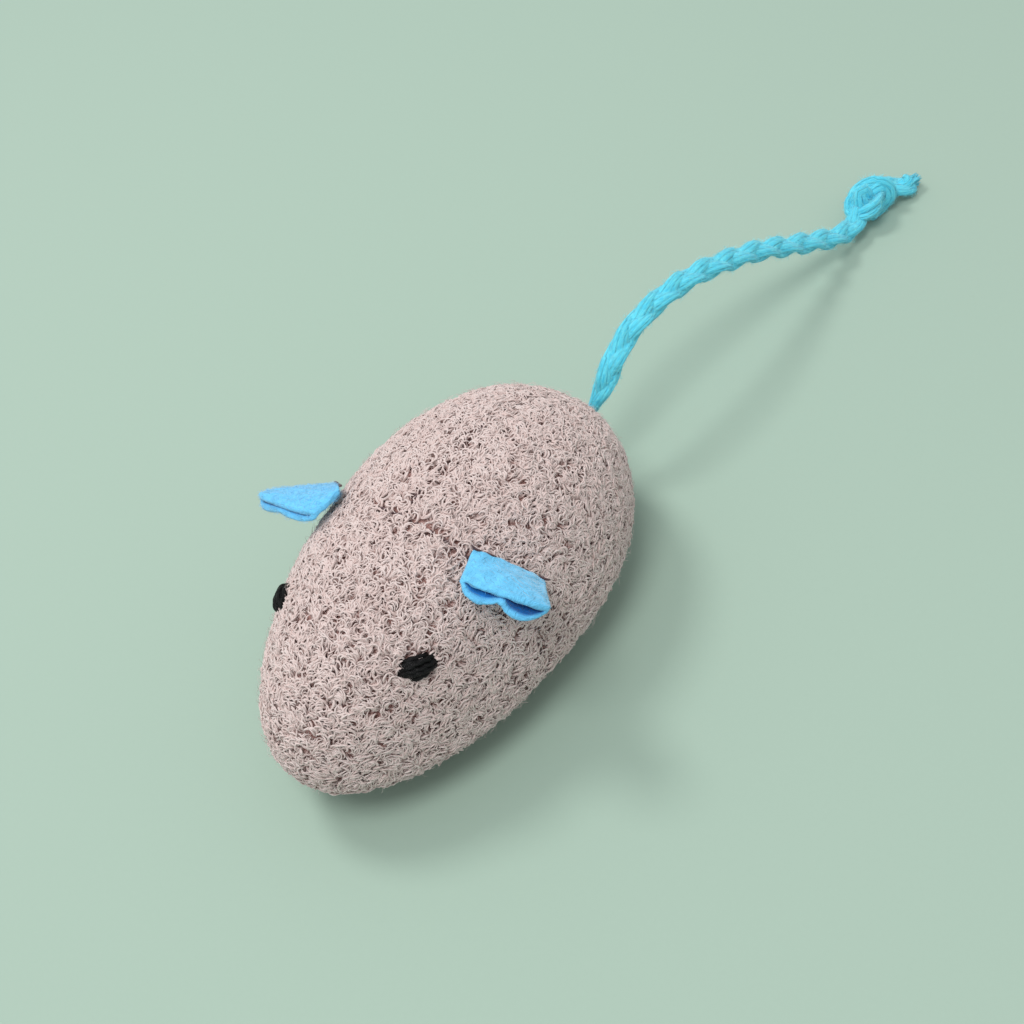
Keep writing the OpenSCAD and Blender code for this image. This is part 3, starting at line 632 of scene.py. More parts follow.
def skin(x, degrees, depth=0.0):
    """Points of the body's outside, in millimetres, drawn in by a depth.

    Angles run from the top to the left.
    """
    b = body()
    size = np.array([b.length, b.width, b.height]) / MM
    x, a = np.broadcast_arrays(np.asarray(x, float), np.radians(np.asarray(degrees, float)))
    sine, cosine = np.sin(a), np.cos(a)
    half_width = size[1] / 2 * taper(x, -0.081 * size[0], 2.12, 2, 1.83, 2.01)
    top = -0.012 * size[0]
    rise = (size[2] - spine(top)) * taper(x, top, 2.2, 2, 2.19, 2.01)
    drop = spine(x) * taper(x, 0, 3, 2, 3, 2) * 1.03
    y = half_width * np.sign(sine) * np.abs(sine) ** (2 / 2.14)
    z = np.where(cosine > 0,
                 spine(x) + rise * np.maximum(cosine, 0) ** (2 / 2.14),
                 np.maximum(spine(x) - drop * np.maximum(-cosine, 0) ** (2 / 2.6), 0))
    depth = np.asarray(depth, float)[..., None]
    p = np.stack([x, y, z], -1) * (1 - 2 * depth / size)
    p[..., 2] += depth[..., 0]
    return p


def skin_frame(x, degrees):
    """The outside's point, its normal, and the directions to the nose and down the left side."""
    s = 0.01
    along = skin(x + s, degrees) - skin(x - s, degrees)
    down = skin(x, degrees + s) - skin(x, degrees - s)
    return skin(x, degrees), unit(np.cross(along, down)), unit(along), unit(down)


UNEVEN = 0.14


def lumps(p):
    """Slow unevenness of the stuffing, from -1 to 1. UNEVEN is its height in millimetres."""
    x, y, z = p[..., 0], p[..., 1], p[..., 2]
    return (np.sin(0.31 * x + 0.9) * np.cos(0.27 * y - 0.4) + np.sin(0.23 * y + 0.41 * z + 1.7)
            + np.cos(0.19 * x - 0.37 * z + 0.6)) / 3


def marks():
    """Half the body's length, the cross seam's place and the belly panel's edge in degrees."""
    b = body()
    return b.length / MM / 2, b.seam_place / MM, math.degrees(b.belly_angle)


def grid_x(x_from, x_to, rows):
    """Places along the body, closer together at its ends."""
    half = body().length / MM / 2
    shares = np.arccos(np.clip([-x_from / half, -x_to / half], -1, 1))
    return -half * np.cos(np.linspace(shares[0], shares[1], rows + 1))


def patches():
    """Each patch of pile: name, CAD panel, length from and to, angle from and to."""
    half, seam, low = marks()
    tail_end, nose_end = -half * 0.9995, half * 0.9995
    bands = (
        ("head", "head_panel", seam, nose_end, (-low, -66, -22, 22, 66, low)),
        ("back_left", "back_panel_left", tail_end, seam, (0, 34, 70, low)),
        ("back_right", "back_panel_right", tail_end, seam, (-low, -70, -34, 0)),
        ("belly_rump", "belly_panel", tail_end, seam, (low, 360 - low)),
        ("belly_nose", "belly_panel", seam, nose_end, (low, 360 - low)),
    )
    return [(f"{name}_{i}", node, x_from, x_to, a_from, a_to)
            for name, node, x_from, x_to, edges in bands
            for i, (a_from, a_to) in enumerate(zip(edges, edges[1:]), 1)]


def growth_ground(x_from, x_to, a_from, a_to):
    """The surface that pile grows from, with the seams' partings and the bare places on it."""
    b, eye = body(), bpy.context.scene.mouse_eye
    rows, cols = 60, max(16, int(abs(a_to - a_from) / 2.4))
    xs = grid_x(x_from, x_to, rows)
    x, a = np.meshgrid(xs, np.linspace(a_from, a_to, cols + 1), indexing="ij")
    p = skin(x, a, b.backing_depth / MM)
    outer, normal, along, down = skin_frame(x, a)
    p += normal * (UNEVEN * lumps(p))[..., None]
    _, seam, low = marks()
    turn = (a + 180) % 360 - 180
    reach = np.linalg.norm(outer - np.stack([x, 0 * x, spine(x)], -1), axis=-1)
    ways = (
        (np.where(x < seam + 0.3, np.abs(outer[..., 1]) + 60 * (np.abs(turn) > 90), 99),
         down * np.sign(turn)[..., None], 0.95),
        (np.abs(x - seam) + 60 * (np.abs(turn) > low), along * np.sign(x - seam)[..., None], 0.85),
        (np.abs(np.abs(turn) - low) * np.radians(1) * reach,
         down * (np.sign(np.abs(turn) - low) * np.sign(turn))[..., None], 1.0),
    )
    away = sum(w * np.exp(-((d / s) ** 2))[..., None] * 0.8 for d, w, s in ways)
    cover = np.ones_like(x)
    for d, _, _ in ways[:2]:
        cover *= smooth_step(0.0, 0.38, d)
    for side in (1, -1):
        c, n, l, w = eye_frame(side)
        across = outer - c
        oval = np.hypot(across @ l / (eye.length / MM / 2 - 0.35),
                        across @ w / (eye.width / MM / 2 - 0.35))
        near = np.linalg.norm(across, axis=-1) < 6
        cover *= np.where(near, smooth_step(0.8, 1.0, oval), 1)
    exit_point = np.array(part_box("tail_bush")).mean(0) / MM
    from_exit = np.hypot(outer[..., 1] - exit_point[1], outer[..., 2] - exit_point[2])
    from_exit += 9 * (x > -20)
    cover *= smooth_step(0.8, 1.1, from_exit)
    cover *= smooth_step(-0.6, 0.6, outer[..., 2] + 0.6)
    tuft = np.exp(-((outer[..., 1] / 3) ** 2) - ((x + 31.5) / 2.5) ** 2) * (np.abs(turn) < 90)
    ground = solid("ground", p.reshape(-1, 3), grid_faces(rows, cols)[1])
    values(ground, "away", away)
    values(ground, "cover", cover)
    values(ground, "longer", 1 + 0.6 * tuft + 0.45 * np.exp(-((from_exit / 2.5) ** 2)))
    return ground


def backing(name, x_from, x_to, a_from, a_to, rows, cols, material):
    """A closed shell of knitted backing over one panel, turned in at its seams."""
    b = body()
    half = b.length / MM / 2
    xs = grid_x(max(x_from, -half), min(x_to, half), rows)
    share_a = np.linspace(0, 1, cols + 1)
    x, a = np.meshgrid(xs, a_from + (a_to - a_from) * share_a, indexing="ij")
    hem = np.minimum(np.where(share_a < 0.5, share_a, 1 - share_a) * abs(a_to - a_from) * 0.3, 9)
    turned_in = 0.45 * np.exp(-((np.broadcast_to(hem, x.shape) / 0.6) ** 2))
    depth = b.backing_depth / MM + turned_in
    outer = skin(x, a, depth)
    outer += skin_frame(x * 0.9995, a)[1] * (UNEVEN * lumps(outer))[..., None]
    inner = skin(x, a, (b.backing_depth + b.backing_thickness) / MM)
    grid, quads = grid_faces(rows, cols)
    n = grid.size
    faces = [tuple(q) for q in quads] + [tuple(q[::-1] + n) for q in quads]
    rim = np.concatenate([grid[:, 0], grid[-1, 1:], grid[-2::-1, -1], grid[0, -2:0:-1]])
    faces += [(q, q + n, p + n, p) for p, q in zip(rim, np.roll(rim, -1))]
    made = solid(name, np.vstack([outer.reshape(-1, 3), inner.reshape(-1, 3)]), faces, material)
    tidy(made)
    return made


def tidy(made, distance=1e-6):
    """Merges doubled points and turns every face outwards."""
    work = bmesh.new()
    work.from_mesh(made.data)
    bmesh.ops.remove_doubles(work, verts=work.verts, dist=distance)
    bmesh.ops.dissolve_degenerate(work, edges=work.edges, dist=distance / 10)
    bmesh.ops.recalc_face_normals(work, faces=work.faces)
    work.to_mesh(made.data)
    work.free()
    made.data.update()


# ------------------------------------------------------------------ materials
def effect(name, inputs, outputs, write):
    """A shader node group, built once."""
    tree = bpy.data.node_groups.get(name)
    if tree is None:
        tree = bpy.data.node_groups.new(name, "ShaderNodeTree")
        write(*sockets(tree, inputs, outputs))
    return tree


def tone_effect():
    """Slow and fine colour changes over a surface."""
    def write(g, given, out):
        coarse = g.noise(given["Vector"], given["Scale"], 3.0, 0.6)
        fine = g.noise(given["Vector"], g.times(given["Scale"], 7.0))
        both = g.plus(g.times(coarse, 0.65), g.times(fine, 0.35))
        value = g.times(g.minus(both, 0.36), 3.2, clamp=True)
        value = g.times(value, given["Amount"])
        g.feed(out["Colour"], g.mix(value, given["Colour"], given["Shade"]))
        g.feed(out["Value"], value)
    return effect("Tone change", (("Vector", "Vector", None), ("Colour", "Color", None),
                                  ("Shade", "Color", None), ("Scale", "Float", 100.0),
                                  ("Amount", "Float", 1.0)),
                  (("Colour", "Color"), ("Value", "Float")), write)


def fibre_effect():
    """Fine matted fibres, as a height."""
    def write(g, given, out):
        warp = g.node("ShaderNodeTexNoise", {"Vector": given["Vector"],
                                             "Scale": g.times(given["Scale"], 0.3)})
        bent = g.vector("ADD", given["Vector"],
                        g.vector("SCALE", warp.outputs["Color"], given["Tangle"]))
        height = None
        for turn in ((1.0, 0.18, 0.5), (0.2, 1.0, 0.4), (0.5, 0.3, 1.0)):
            noise = g.noise(g.vector("MULTIPLY", bent, turn), given["Scale"])
            height = noise if height is None else g.math("MAXIMUM", height, noise)
        g.feed(out["Height"], height)
    return effect("Matted fibres", (("Vector", "Vector", None), ("Scale", "Float", 2500.0),
                                    ("Tangle", "Float", 0.0006)),
                  (("Height", "Float"),), write)


def material(name, write, **shader):
    """A material. Its constants come from shader= and its changing values from write."""
    made = bpy.data.materials.get(name)
    if made:
        return made
    made = bpy.data.materials.new(name)
    made.use_nodes = True
    g = Graph(made.node_tree)
    principled = made.node_tree.nodes["Principled BSDF"]
    for socket, value in shader.items():
        principled.inputs[socket.replace("_", " ")].default_value = value
    for socket, value in write(g).items():
        g.feed(principled.inputs[socket.replace("_", " ")], value)
    return made


def object_place(g):
    return g.node("ShaderNodeTexCoord").outputs["Object"]


def own_uv(g):
    return g.node("ShaderNodeTexCoord").outputs["UV"]


def tone(g, first, second, scale, amount=1.0):
    """Base colour that changes slowly between two colours."""
    made = g.node("ShaderNodeGroup", {
        "Vector": object_place(g), "Colour": (*first, 1), "Shade": (*second, 1),
        "Scale": scale, "Amount": amount}, node_tree=tone_effect())
    return made.outputs["Colour"]


def matted(g, scale, depth):
    """Normal with the relief of matted fibres."""
    made = g.node("ShaderNodeGroup", {"Vector": object_place(g), "Scale": scale},
                  node_tree=fibre_effect())
    return g.bump(made.outputs["Height"], depth)


def attribute(g, name):
    return g.node("ShaderNodeAttribute", attribute_name=name).outputs["Fac"]


def darker(c, by):
    return tuple(v * by for v in c)


def lighter(c, by):
    return tuple(v + (1 - v) * by for v in c)


def fleece_finish():
    s = bpy.context.scene.mouse_fleece
    tip, middle, root = tuple(s.tip), tuple(s.middle), tuple(s.root)

    def write(g):
        along, tint = attribute(g, "along"), attribute(g, "tint")
        # Painted shade and light: each tuft darkens towards its root, where shade falls deep in the
        # pile, and lightens at its very tip as a painted highlight. By its random tint a tuft mixes
        # this ramp with a darker copy of it.
        base = g.ramp(along, (0.0, root), (0.22, middle), (0.5, tip), (1.0, lighter(tip, 0.15)))
        shaded = g.ramp(along, (0.0, darker(root, 0.8)), (0.3, darker(middle, 0.85)),
                        (0.7, middle), (1.0, tip))
        own = g.mix(g.math("POWER", tint, 1.5), base, shaded)
        slow = g.noise(object_place(g), 170.0)
        warm = g.mix(g.times(slow, 0.35), own, (*darker(middle, 0.9), 1))
        return {"Base_Color": warm}
    return material("Fleece pile", write, Roughness=0.85, Sheen_Weight=0.25, Sheen_Roughness=0.5,
                    Specular_IOR_Level=0.2)


def cloth_finish(name, shade, dark, patches_scale, fibre_scale, relief, **shader):
    """Matted cloth or thread in one colour, darker in patches."""
    def write(g):
        return {"Base_Color": tone(g, tuple(shade), darker(shade, dark), patches_scale),
                "Normal": matted(g, fibre_scale, relief)}
    return material(name, write, **shader)


def fuzz_finish(name, pale, deep, rough):
    """Single fibres, each between two colours."""
    def write(g):
        return {"Base_Color": g.mix(attribute(g, "tint"), (*pale, 1), (*deep, 1))}
    return material(name, write, Roughness=rough, Sheen_Weight=0.3)


def backing_finish():
    # The backing shows in the gaps between tufts. Its darker colour is painted shade there, with
    # random darker patches on top.
    return cloth_finish("Knitted backing", bpy.context.scene.mouse_fleece.backing, 0.6, 900.0,
                        3000.0, 0.00025, Roughness=0.95, Sheen_Weight=0.2)


def sewing_finish():
    return cloth_finish("Sewing thread", bpy.context.scene.mouse_sewing.thread, 0.6, 1500.0,
                        6000.0, 0.00004, Roughness=0.7, Sheen_Weight=0.2)


def wadding_finish():
    return cloth_finish("Polyester wadding", bpy.context.scene.mouse_works.wadding, 0.82, 260.0,
                        1500.0, 0.0005, Roughness=0.9, Sheen_Weight=0.4)


def felt_fuzz_finish():
    face = bpy.context.scene.mouse_felt.face
    return fuzz_finish("Felt fuzz", lighter(face, 0.3), face, 0.9)


def yarn_fuzz_finish():
    yarn = bpy.context.scene.mouse_tail.yarn
    return fuzz_finish("Yarn fuzz", lighter(yarn, 0.1), darker(yarn, 0.8), 0.8)


def felt_finish():
    s = bpy.context.scene.mouse_felt

    def write(g):
        # The fold attribute marks the inside of each fold, which is painted in the darker fold
        # colour as painted shade.
        fold_shade_mask = attribute(g, "fold")
        outer = tone(g, tuple(s.face), darker(s.face, 0.62), 620.0, 0.8)
        inner = tone(g, tuple(s.deep), darker(s.deep, 0.7), 420.0, 0.8)
        return {"Base_Color": g.mix(fold_shade_mask, outer, inner), "Normal": matted(g, 2400.0, 0.0004)}
    return material("Felt", write, Roughness=0.92, Sheen_Weight=0.35, Sheen_Roughness=0.45,
                    Specular_IOR_Level=0.25)


def eye_thread_finish():
    s = bpy.context.scene.mouse_eye

    def write(g):
        uv = g.vector("MULTIPLY", own_uv(g), (6.0, 26.0, 1.0))
        streak = g.noise(uv, 1.0)
        shade = g.mix(streak, (*darker(s.thread, 0.5), 1), (*lighter(s.thread, 0.004), 1))
        return {"Base_Color": shade, "Normal": g.bump(streak, 0.00012, 0.8),
                "Roughness": g.plus(0.24, g.times(streak, 0.25))}
    return material("Embroidery thread", write, Specular_IOR_Level=0.14)


def yarn_finish():
    s = bpy.context.scene.mouse_tail

    def write(g):
        uv = own_uv(g)
        stripes = g.noise(g.vector("MULTIPLY", uv, (0.55, 30.0, 1.0)), 1.0, 3.0, 0.65)
        hairs = g.noise(g.vector("MULTIPLY", uv, (1.6, 75.0, 1.0)), 1.0)
        both = g.plus(g.times(stripes, 0.6), g.times(hairs, 0.4))
        blend = g.times(g.minus(both, 0.36), 3.4, clamp=True)
        # Streaks along each strand mix the lit yarn colour and the yarn shade: painted highlight
        # and painted shade.
        deep, bright = (*s.yarn_deep, 1), (*s.yarn, 1)
        # Painted shade: the creases between the plies are darkened further.
        crease = g.math("POWER", attribute(g, "crease"), 3.0)
        shade = g.mix(crease, g.mix(blend, deep, bright), (*darker(s.yarn_deep, 0.3), 1))
        return {"Base_Color": shade, "Normal": g.bump(blend, 0.0001, 0.7)}
    return material("Braided yarn", write, Roughness=0.62, Sheen_Weight=0.25, Sheen_Roughness=0.4,
                    Specular_IOR_Level=0.35)


def pull_cord_finish():
    s = bpy.context.scene.mouse_works

    def write(g):
        uv = g.vector("MULTIPLY", own_uv(g), (3.0, 18.0, 1.0))
        streak = g.noise(uv, 1.0, 3.0)
        return {"Base_Color": g.mix(streak, (*darker(s.cord, 0.5), 1), (*lighter(s.cord, 0.1), 1)),
                "Normal": g.bump(streak, 0.00006)}
    return material("Pull cord", write, Roughness=0.6, Sheen_Weight=0.15)


def plastic_finish(name, shade, grain, rough):
    def write(g):
        place = object_place(g)
        return {"Base_Color": tone(g, shade, darker(shade, 0.86), 90.0, 0.6),
                "Roughness": g.plus(rough - 0.1, g.times(g.noise(place, 60.0), 0.2)),
                "Normal": g.bump(g.noise(place, grain), 0.00002, 0.6)}
    return material(name, write, IOR=1.5)


def metal_finish(name, shade, rough, cut):
    def write(g):
        place = object_place(g)
        line = g.noise(g.vector("MULTIPLY", place, (1.0, 1.0, cut)), 900.0, 3.0)
        stain = g.noise(place, 130.0, 3.0)
        uneven = g.plus(g.times(line, 0.12), g.times(stain, 0.12))
        return {"Base_Color": tone(g, shade, darker(shade, 0.75), 160.0, 0.7),
                "Roughness": g.plus(rough - 0.08, uneven), "Normal": g.bump(line, 0.000008, 0.5)}
    return material(name, write, Metallic=1.0)


def floor_finish():
    s = bpy.context.scene.mouse_stage

    def write(g):
        place = object_place(g)
        slow, fine = g.noise(place, 9.0), g.noise(place, 1400.0)
        shade = g.mix(g.times(slow, 0.12), (*s.floor, 1), (*darker(s.floor, 0.93), 1))
        shade = g.mix(g.times(fine, 0.1), shade, (*darker(s.floor, 0.8), 1))
        return {"Base_Color": shade, "Normal": g.bump(fine, 0.00002, 0.3)}
    return material("Pale card", write, Roughness=0.8, Specular_IOR_Level=0.3)


# ------------------------------------------------------------------ operators
FLOOR_HALF = 4000
LIGHT_DISTANCE = 0.75
LIGHT_AIM = (-0.03, 0, 0)
CAMERA_PLACE = (0.08307, 0.11068, 0.18040)
CAMERA_BACK = (0.43992, 0.49376, 0.75011)
CAMERA_ROLL = math.radians(-16.7)


class MOUSE_OT_stage(bpy.types.Operator):
    """Lays the floor, sets the lights and aims the camera"""

    bl_idname = "mouse.stage"
    bl_label = "Stage"

    def execute(self, context):
        s = context.scene.mouse_stage
        self.aim(context, s)
        corners = [(x * FLOOR_HALF, y * FLOOR_HALF, 0)
                   for x, y in ((-1, -1), (1, -1), (1, 1), (-1, 1))]
        floor = solid("floor", corners, [(0, 1, 2, 3)], floor_finish(), smooth=False)
        for name, place, size, power in (("key_light", (0.33, 0.11, 1.0), 0.30, s.key),
                                         ("second_light", (0.0, -0.55, 1.0), 0.22, s.fill)):
            light = bpy.data.lights.new(name, "AREA")
            light.shape = "DISK"
            light.size = size
            light.energy = power
            made = linked(name, light)
            way = Vector(place).normalized()
            made.location = way * LIGHT_DISTANCE + Vector(LIGHT_AIM)
            made.rotation_euler = way.to_track_quat("Z", "Y").to_euler()
        world = bpy.data.worlds.new("Studio")
        world.use_nodes = True
        ground = world.node_tree.nodes["Background"]
        ground.inputs["Color"].default_value = (0.93, 0.97, 1.0, 1)
        ground.inputs["Strength"].default_value = s.sky
        context.scene.world = world
        context.scene.view_settings.view_transform = "Standard"
        return {"FINISHED"}

    def aim(self, context, s):
        """Puts the camera over the mouse's left shoulder, a little rolled."""
        camera = linked("camera", bpy.data.cameras.new("camera"))
        camera.location = CAMERA_PLACE
        back = Vector(CAMERA_BACK)
        right = (-back).cross(Vector((0, 0, 1))).normalized()
        up = right.cross(-back)
        r = right * math.cos(CAMERA_ROLL) + up * math.sin(CAMERA_ROLL)
        u = -right * math.sin(CAMERA_ROLL) + up * math.cos(CAMERA_ROLL)
        turned = Matrix((r, u, back)).transposed().to_4x4()
        camera.matrix_world = Matrix.Translation(camera.location) @ turned
        camera.data.lens = s.lens / MM
        camera.data.sensor_width = 36
        camera.data.clip_start = 0.005
        context.scene.camera = camera


TAIL_ROUTE = (
    (-36.2, 0, 13), (-37.8, 0.7, 14.8), (-39.8, 1.1, 16.8), (-42.6, 1.2, 18.9),
    (-46.2, 1.3, 20.6), (-50.8, 1.7, 21.5), (-56.4, 2.5, 21.5), (-62.6, 3.5, 20.4),
    (-69.4, 4.7, 18), (-77, 6.1, 14.5), (-86, 8.1, 9.3), (-94, 9.8, 4.9),
    (-99.2, 10.4, 3), (-103, 10, 3.2),
)


TIP_END = (-116.4, 13.9, 1.75)
KNOT_FACING = (0.40, 0.46, 0.79)
SIDES = 40


def ply(run, theta, strand):
    """Height of a strand's surface, 0 in the creases between its plies and 1 on top of them."""
    twist = 7 * theta + 0.5 * run + 2 * strand + 0.7 * np.sin(0.9 * run + strand)
    return np.abs(np.cos(twist / 2)) ** 0.7


def braid(line, first_up, scale, s, start):
    """Three flat strands plaited along a line; scale is the braid's size at each point of it."""
    _, side, up = frames(line, np.asarray(first_up, float))
    run = run_along(line)
    width, strand, deep = s.width / MM, s.strand_width / MM, s.strand_depth / MM
    swing = (width - strand) / 2
    parts, creases = [], []
    for k in range(3):
        phase = (run / (s.lay / MM) + start + k / 3) * FULL_TURN
        sway = swing * np.sin(phase)
        rise = 0.5 * np.sin(2 * phase)
        path = line + (side * (sway * scale)[:, None]) + up * (rise * scale)[:, None]
        t, _, _ = frames(path, up[0])
        local_up = unit(up - 0.28 * side * (np.sin(phase))[:, None] * np.sign(rise)[:, None])
        local_up = unit(local_up - t * np.sum(local_up * t, 1)[:, None])
        local_side = np.cross(local_up, t)

        def relief(r, theta, k=k):
            return 0.93 + 0.12 * ply(r, theta, k) + 0.03 * np.sin(1.7 * r + 2.1 * k + np.cos(theta))
        flat = 1 - 0.18 * np.abs(np.sin(phase))
        theta = np.arange(SIDES) * FULL_TURN / SIDES
        # crease is 1 between the plies: the mask of the painted shade in the creases.
        creases.append(1 - ply(run[:, None] * 1.03, theta[None], k).ravel())
        creases.append(np.full(2, 0.5))
        broad = strand * scale * (1.0 + 0.1 * np.cos(2 * phase))
        parts.append(tube(path, local_side, local_up, broad, deep * scale * flat, SIDES, relief))
    return *joined(parts), np.concatenate(creases)


def overhand(scale):
    """Centre line of an overhand knot, open along X, in steps of the given size."""
    t = np.linspace(math.pi + 0.42, 3 * math.pi - 0.42, 90)
    loop = np.stack([-(np.sin(t) + 2 * np.sin(2 * t)), np.cos(t) - 2 * np.cos(2 * t),
                     -1.15 * np.sin(3 * t)], 1)
    return loop * scale


class MOUSE_OT_tail(bpy.types.Operator):
    """Plaits the tail, ties its knot and brushes out its end"""

    bl_idname = "mouse.tail"
    bl_label = "Tail"

    def execute(self, context):
        s = context.scene.mouse_tail
        line = smooth_line(TAIL_ROUTE, 0.3)
        run = np.linspace(0, 1, len(line)) * 0.3 * (len(line) - 1)
        narrow = s.root_width / s.width
        scale = narrow + (1 - narrow) * smooth_step(0.5, 6.5, run)
        points, faces, uv, creases = braid(line, (0.3, 0.5, 0.8), scale, s, 0.1)
        tail = solid("tail_braid_plaited", points, faces, yarn_finish(), uv=uv)
        values(tail, "crease", creases)
        put(tail, "tail", "yarn", "tail_braid")

        centre = np.array(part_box("tail_knot")).mean(0) / MM
        tip_end = np.array(TIP_END)
        out = unit(tip_end - np.array(TAIL_ROUTE[-1]))
        across = unit(np.cross(unit(KNOT_FACING), out))
        facing = np.cross(out, across)
        loop = overhand(s.knot_scale / MM)
        placed = centre + loop[:, :1] * out - loop[:, 1:2] * across + loop[:, 2:] * facing
        entry = line[-1]
        lead = np.array([entry, entry + unit(line[-1] - line[-2]) * 0.8])
        path = np.vstack([lead, placed[6:-4], [tip_end - out * 3.2], [tip_end - out * 1.6]])
        path = smooth_line(path, 0.3)
        path[:, 2] = np.maximum(path[:, 2], 1.35)
        points, faces, uv, creases = braid(path, (0.3, 0.5, 0.8), np.full(len(path), 1.08), s, 0.3)
        points[:, 2] = np.maximum(points[:, 2], 0.05)
        knot = solid("tail_knot_tied", points, faces, yarn_finish(), uv=uv)
        values(knot, "crease", creases)
        put(knot, "tail", "yarn", "tail_knot")
        tip = self.tip(tip_end, out)
        put(tip, "tail", "yarn", "tail_tip")
        fuzz = self.fuzz(tail, knot)
        pressed(fuzz)
        put(fuzz, "tail", "yarn")
        return {"FINISHED"}

    def tip(self, end, out):
        """The cut end: a short brush of loose plies."""
        rng = np.random.default_rng(11)
        side = unit(np.cross(out, (0, 0, 1)))
        up = np.cross(side, out)
        parts = []
        for _ in range(46):
            turn, reach = rng.uniform(0, FULL_TURN), math.sqrt(rng.uniform(0, 1)) * 1.05
            offset = side * math.cos(turn) * reach + up * math.sin(turn) * reach
            start = end - out * 2.6 + offset * 0.85
            stop = end + out * rng.uniform(-0.5, 0.7) + offset * rng.uniform(0.9, 1.25)
            bend = rng.normal(0, 0.14, 3)
            line = smooth_line([start, (start + stop) / 2 + bend, stop], 0.5)
            _, u, v = frames(line, up)
            thin = 0.34 * (1 - 0.5 * np.linspace(0, 1, len(line)) ** 2)
            parts.append(tube(line, u, v, thin, thin, 6))
        points, faces, uv = joined(parts)
        points[:, 2] = np.maximum(points[:, 2], 0.05)
        return solid("tail_tip_brushed", points, faces, yarn_finish(), uv=uv)

    def fuzz(self, *pieces):
        """Loose fibres that stand off the yarn."""
        made = []
        for i, piece in enumerate(pieces):
            copy = linked("ground", piece.data.copy())
            plain_ground(copy)
            made.append(grown(copy, "Curly pile", f"fuzz_{i}", density=2.4e6, length=0.9 * MM,
                              height=0.38 * MM, radius=0.022 * MM, curl=1.3, lock_size=0.5 * MM,
                              gather=0.0, disorder=1.0, droop=0.55, segments=4, seed=40 + i,
                              material=yarn_fuzz_finish()))
            discard(copy)
        return merged("tail_fuzz", made)


def plain_ground(made, cover=1.0):
    """Gives a growth surface its cover, and no parting."""
    count = len(made.data.vertices)
    values(made, "away", np.zeros(3 * count))
    values(made, "cover", np.ones(count) * cover)
    values(made, "longer", np.ones(count))


def pressed(made):
    """Presses what would reach under the ground flat onto it."""
    points = np.empty(3 * len(made.data.vertices), np.float32)
    made.data.vertices.foreach_get("co", points)
    points[2::3] = np.maximum(points[2::3], 0.03 * MM)
    made.data.vertices.foreach_set("co", points)
    made.data.update()


def merged(name, pieces):
    """Several mesh objects as one."""
    work = bmesh.new()
    materials = []
    for piece in pieces:
        work.from_mesh(piece.data)
        materials.append(piece.data.materials[0])
    mesh = bpy.data.meshes.new(name)
    work.to_mesh(mesh)
    work.free()
    mesh.materials.append(materials[0])
    for piece in pieces:
        discard(piece)
    made = linked(name, mesh)
    return made


class MOUSE_OT_fleece(bpy.types.Operator):
    """Sews the backing panels and grows their curly pile"""

    bl_idname = "mouse.fleece"
    bl_label = "Fleece"

    def execute(self, context):
        s = context.scene.mouse_fleece
        half, seam, low = marks()
        ground_finish = backing_finish()
        for name, node, x_from, x_to, a_from, a_to, rows, cols in (
                ("backing_head", "head_panel", seam, half, -low, low, 34, 84),
                ("backing_back_left", "back_panel_left", -half, seam, 0, low, 40, 44),
                ("backing_back_right", "back_panel_right", -half, seam, -low, 0, 40, 44),
                ("backing_belly", "belly_panel", -half, half, low, 360 - low, 60, 48)):
            panel = backing(name, x_from, x_to, a_from, a_to, rows, cols, ground_finish)
            put(panel, "body", "fleece", node)
        stray_grounds = []
        for i, (name, node, x_from, x_to, a_from, a_to) in enumerate(patches()):
            ground = growth_ground(x_from, x_to, a_from, a_to)
            belly = name.startswith("belly")
            pile = grown(ground, "Curly pile", "pile_" + name,
                         density=(s.belly_density if belly else s.density) / MM**2,
                         length=s.lock_length, height=s.pile_height * (0.75 if belly else 1),
                         radius=s.fibre_radius, curl=s.curl, lock_size=s.lock_size,
                         gather=s.gather, disorder=s.disorder, droop=0.72, segments=5, sides=4,
                         seed=100 + 10 * i, material=fleece_finish())
            pressed(pile)
            put(pile, "body", "fleece", node)
            if belly:
                discard(ground)
                continue
            stray_grounds.append(grown(
                ground, "Curly pile", "stray_" + name, density=s.stray_density / MM**2,
                length=2.6 * MM, height=1.55 * MM, radius=0.035 * MM, curl=1.6, lock_size=0.2 * MM,
                gather=0.0, disorder=1.0, droop=0.55, segments=4, seed=500 + i,
                material=fleece_finish()))
            discard(ground)
        strays = merged("pile_strays", stray_grounds)
        pressed(strays)
        put(strays, "body", "fleece")
        return {"FINISHED"}


def ear_corners():
    """Base and free edge of the left ear, inner corner first."""
    corners = []
    for x, a in ((3, 32), (-1, 60)):
        p, n, _, _ = skin_frame(np.array(x, float), np.array(a, float))
        corners.append(p + n * (0.5 + 0.7))
    return corners[0], corners[1], np.array((8.6, 13.1, 31.0)), np.array((5.8, 25.0, 28.4))


def hang(points, side):
    """Places points of the left ear on either side; the right ear hangs lower."""
    if side > 0:
        return points
    base_in, base_out, _, _ = ear_corners()
    droop = bpy.context.scene.mouse_felt.droop
    turn = np.array(Matrix.Rotation(droop, 3, Vector(base_out - base_in)))
    return ((points - base_in) @ turn.T + base_in) * (1, -1, 1)


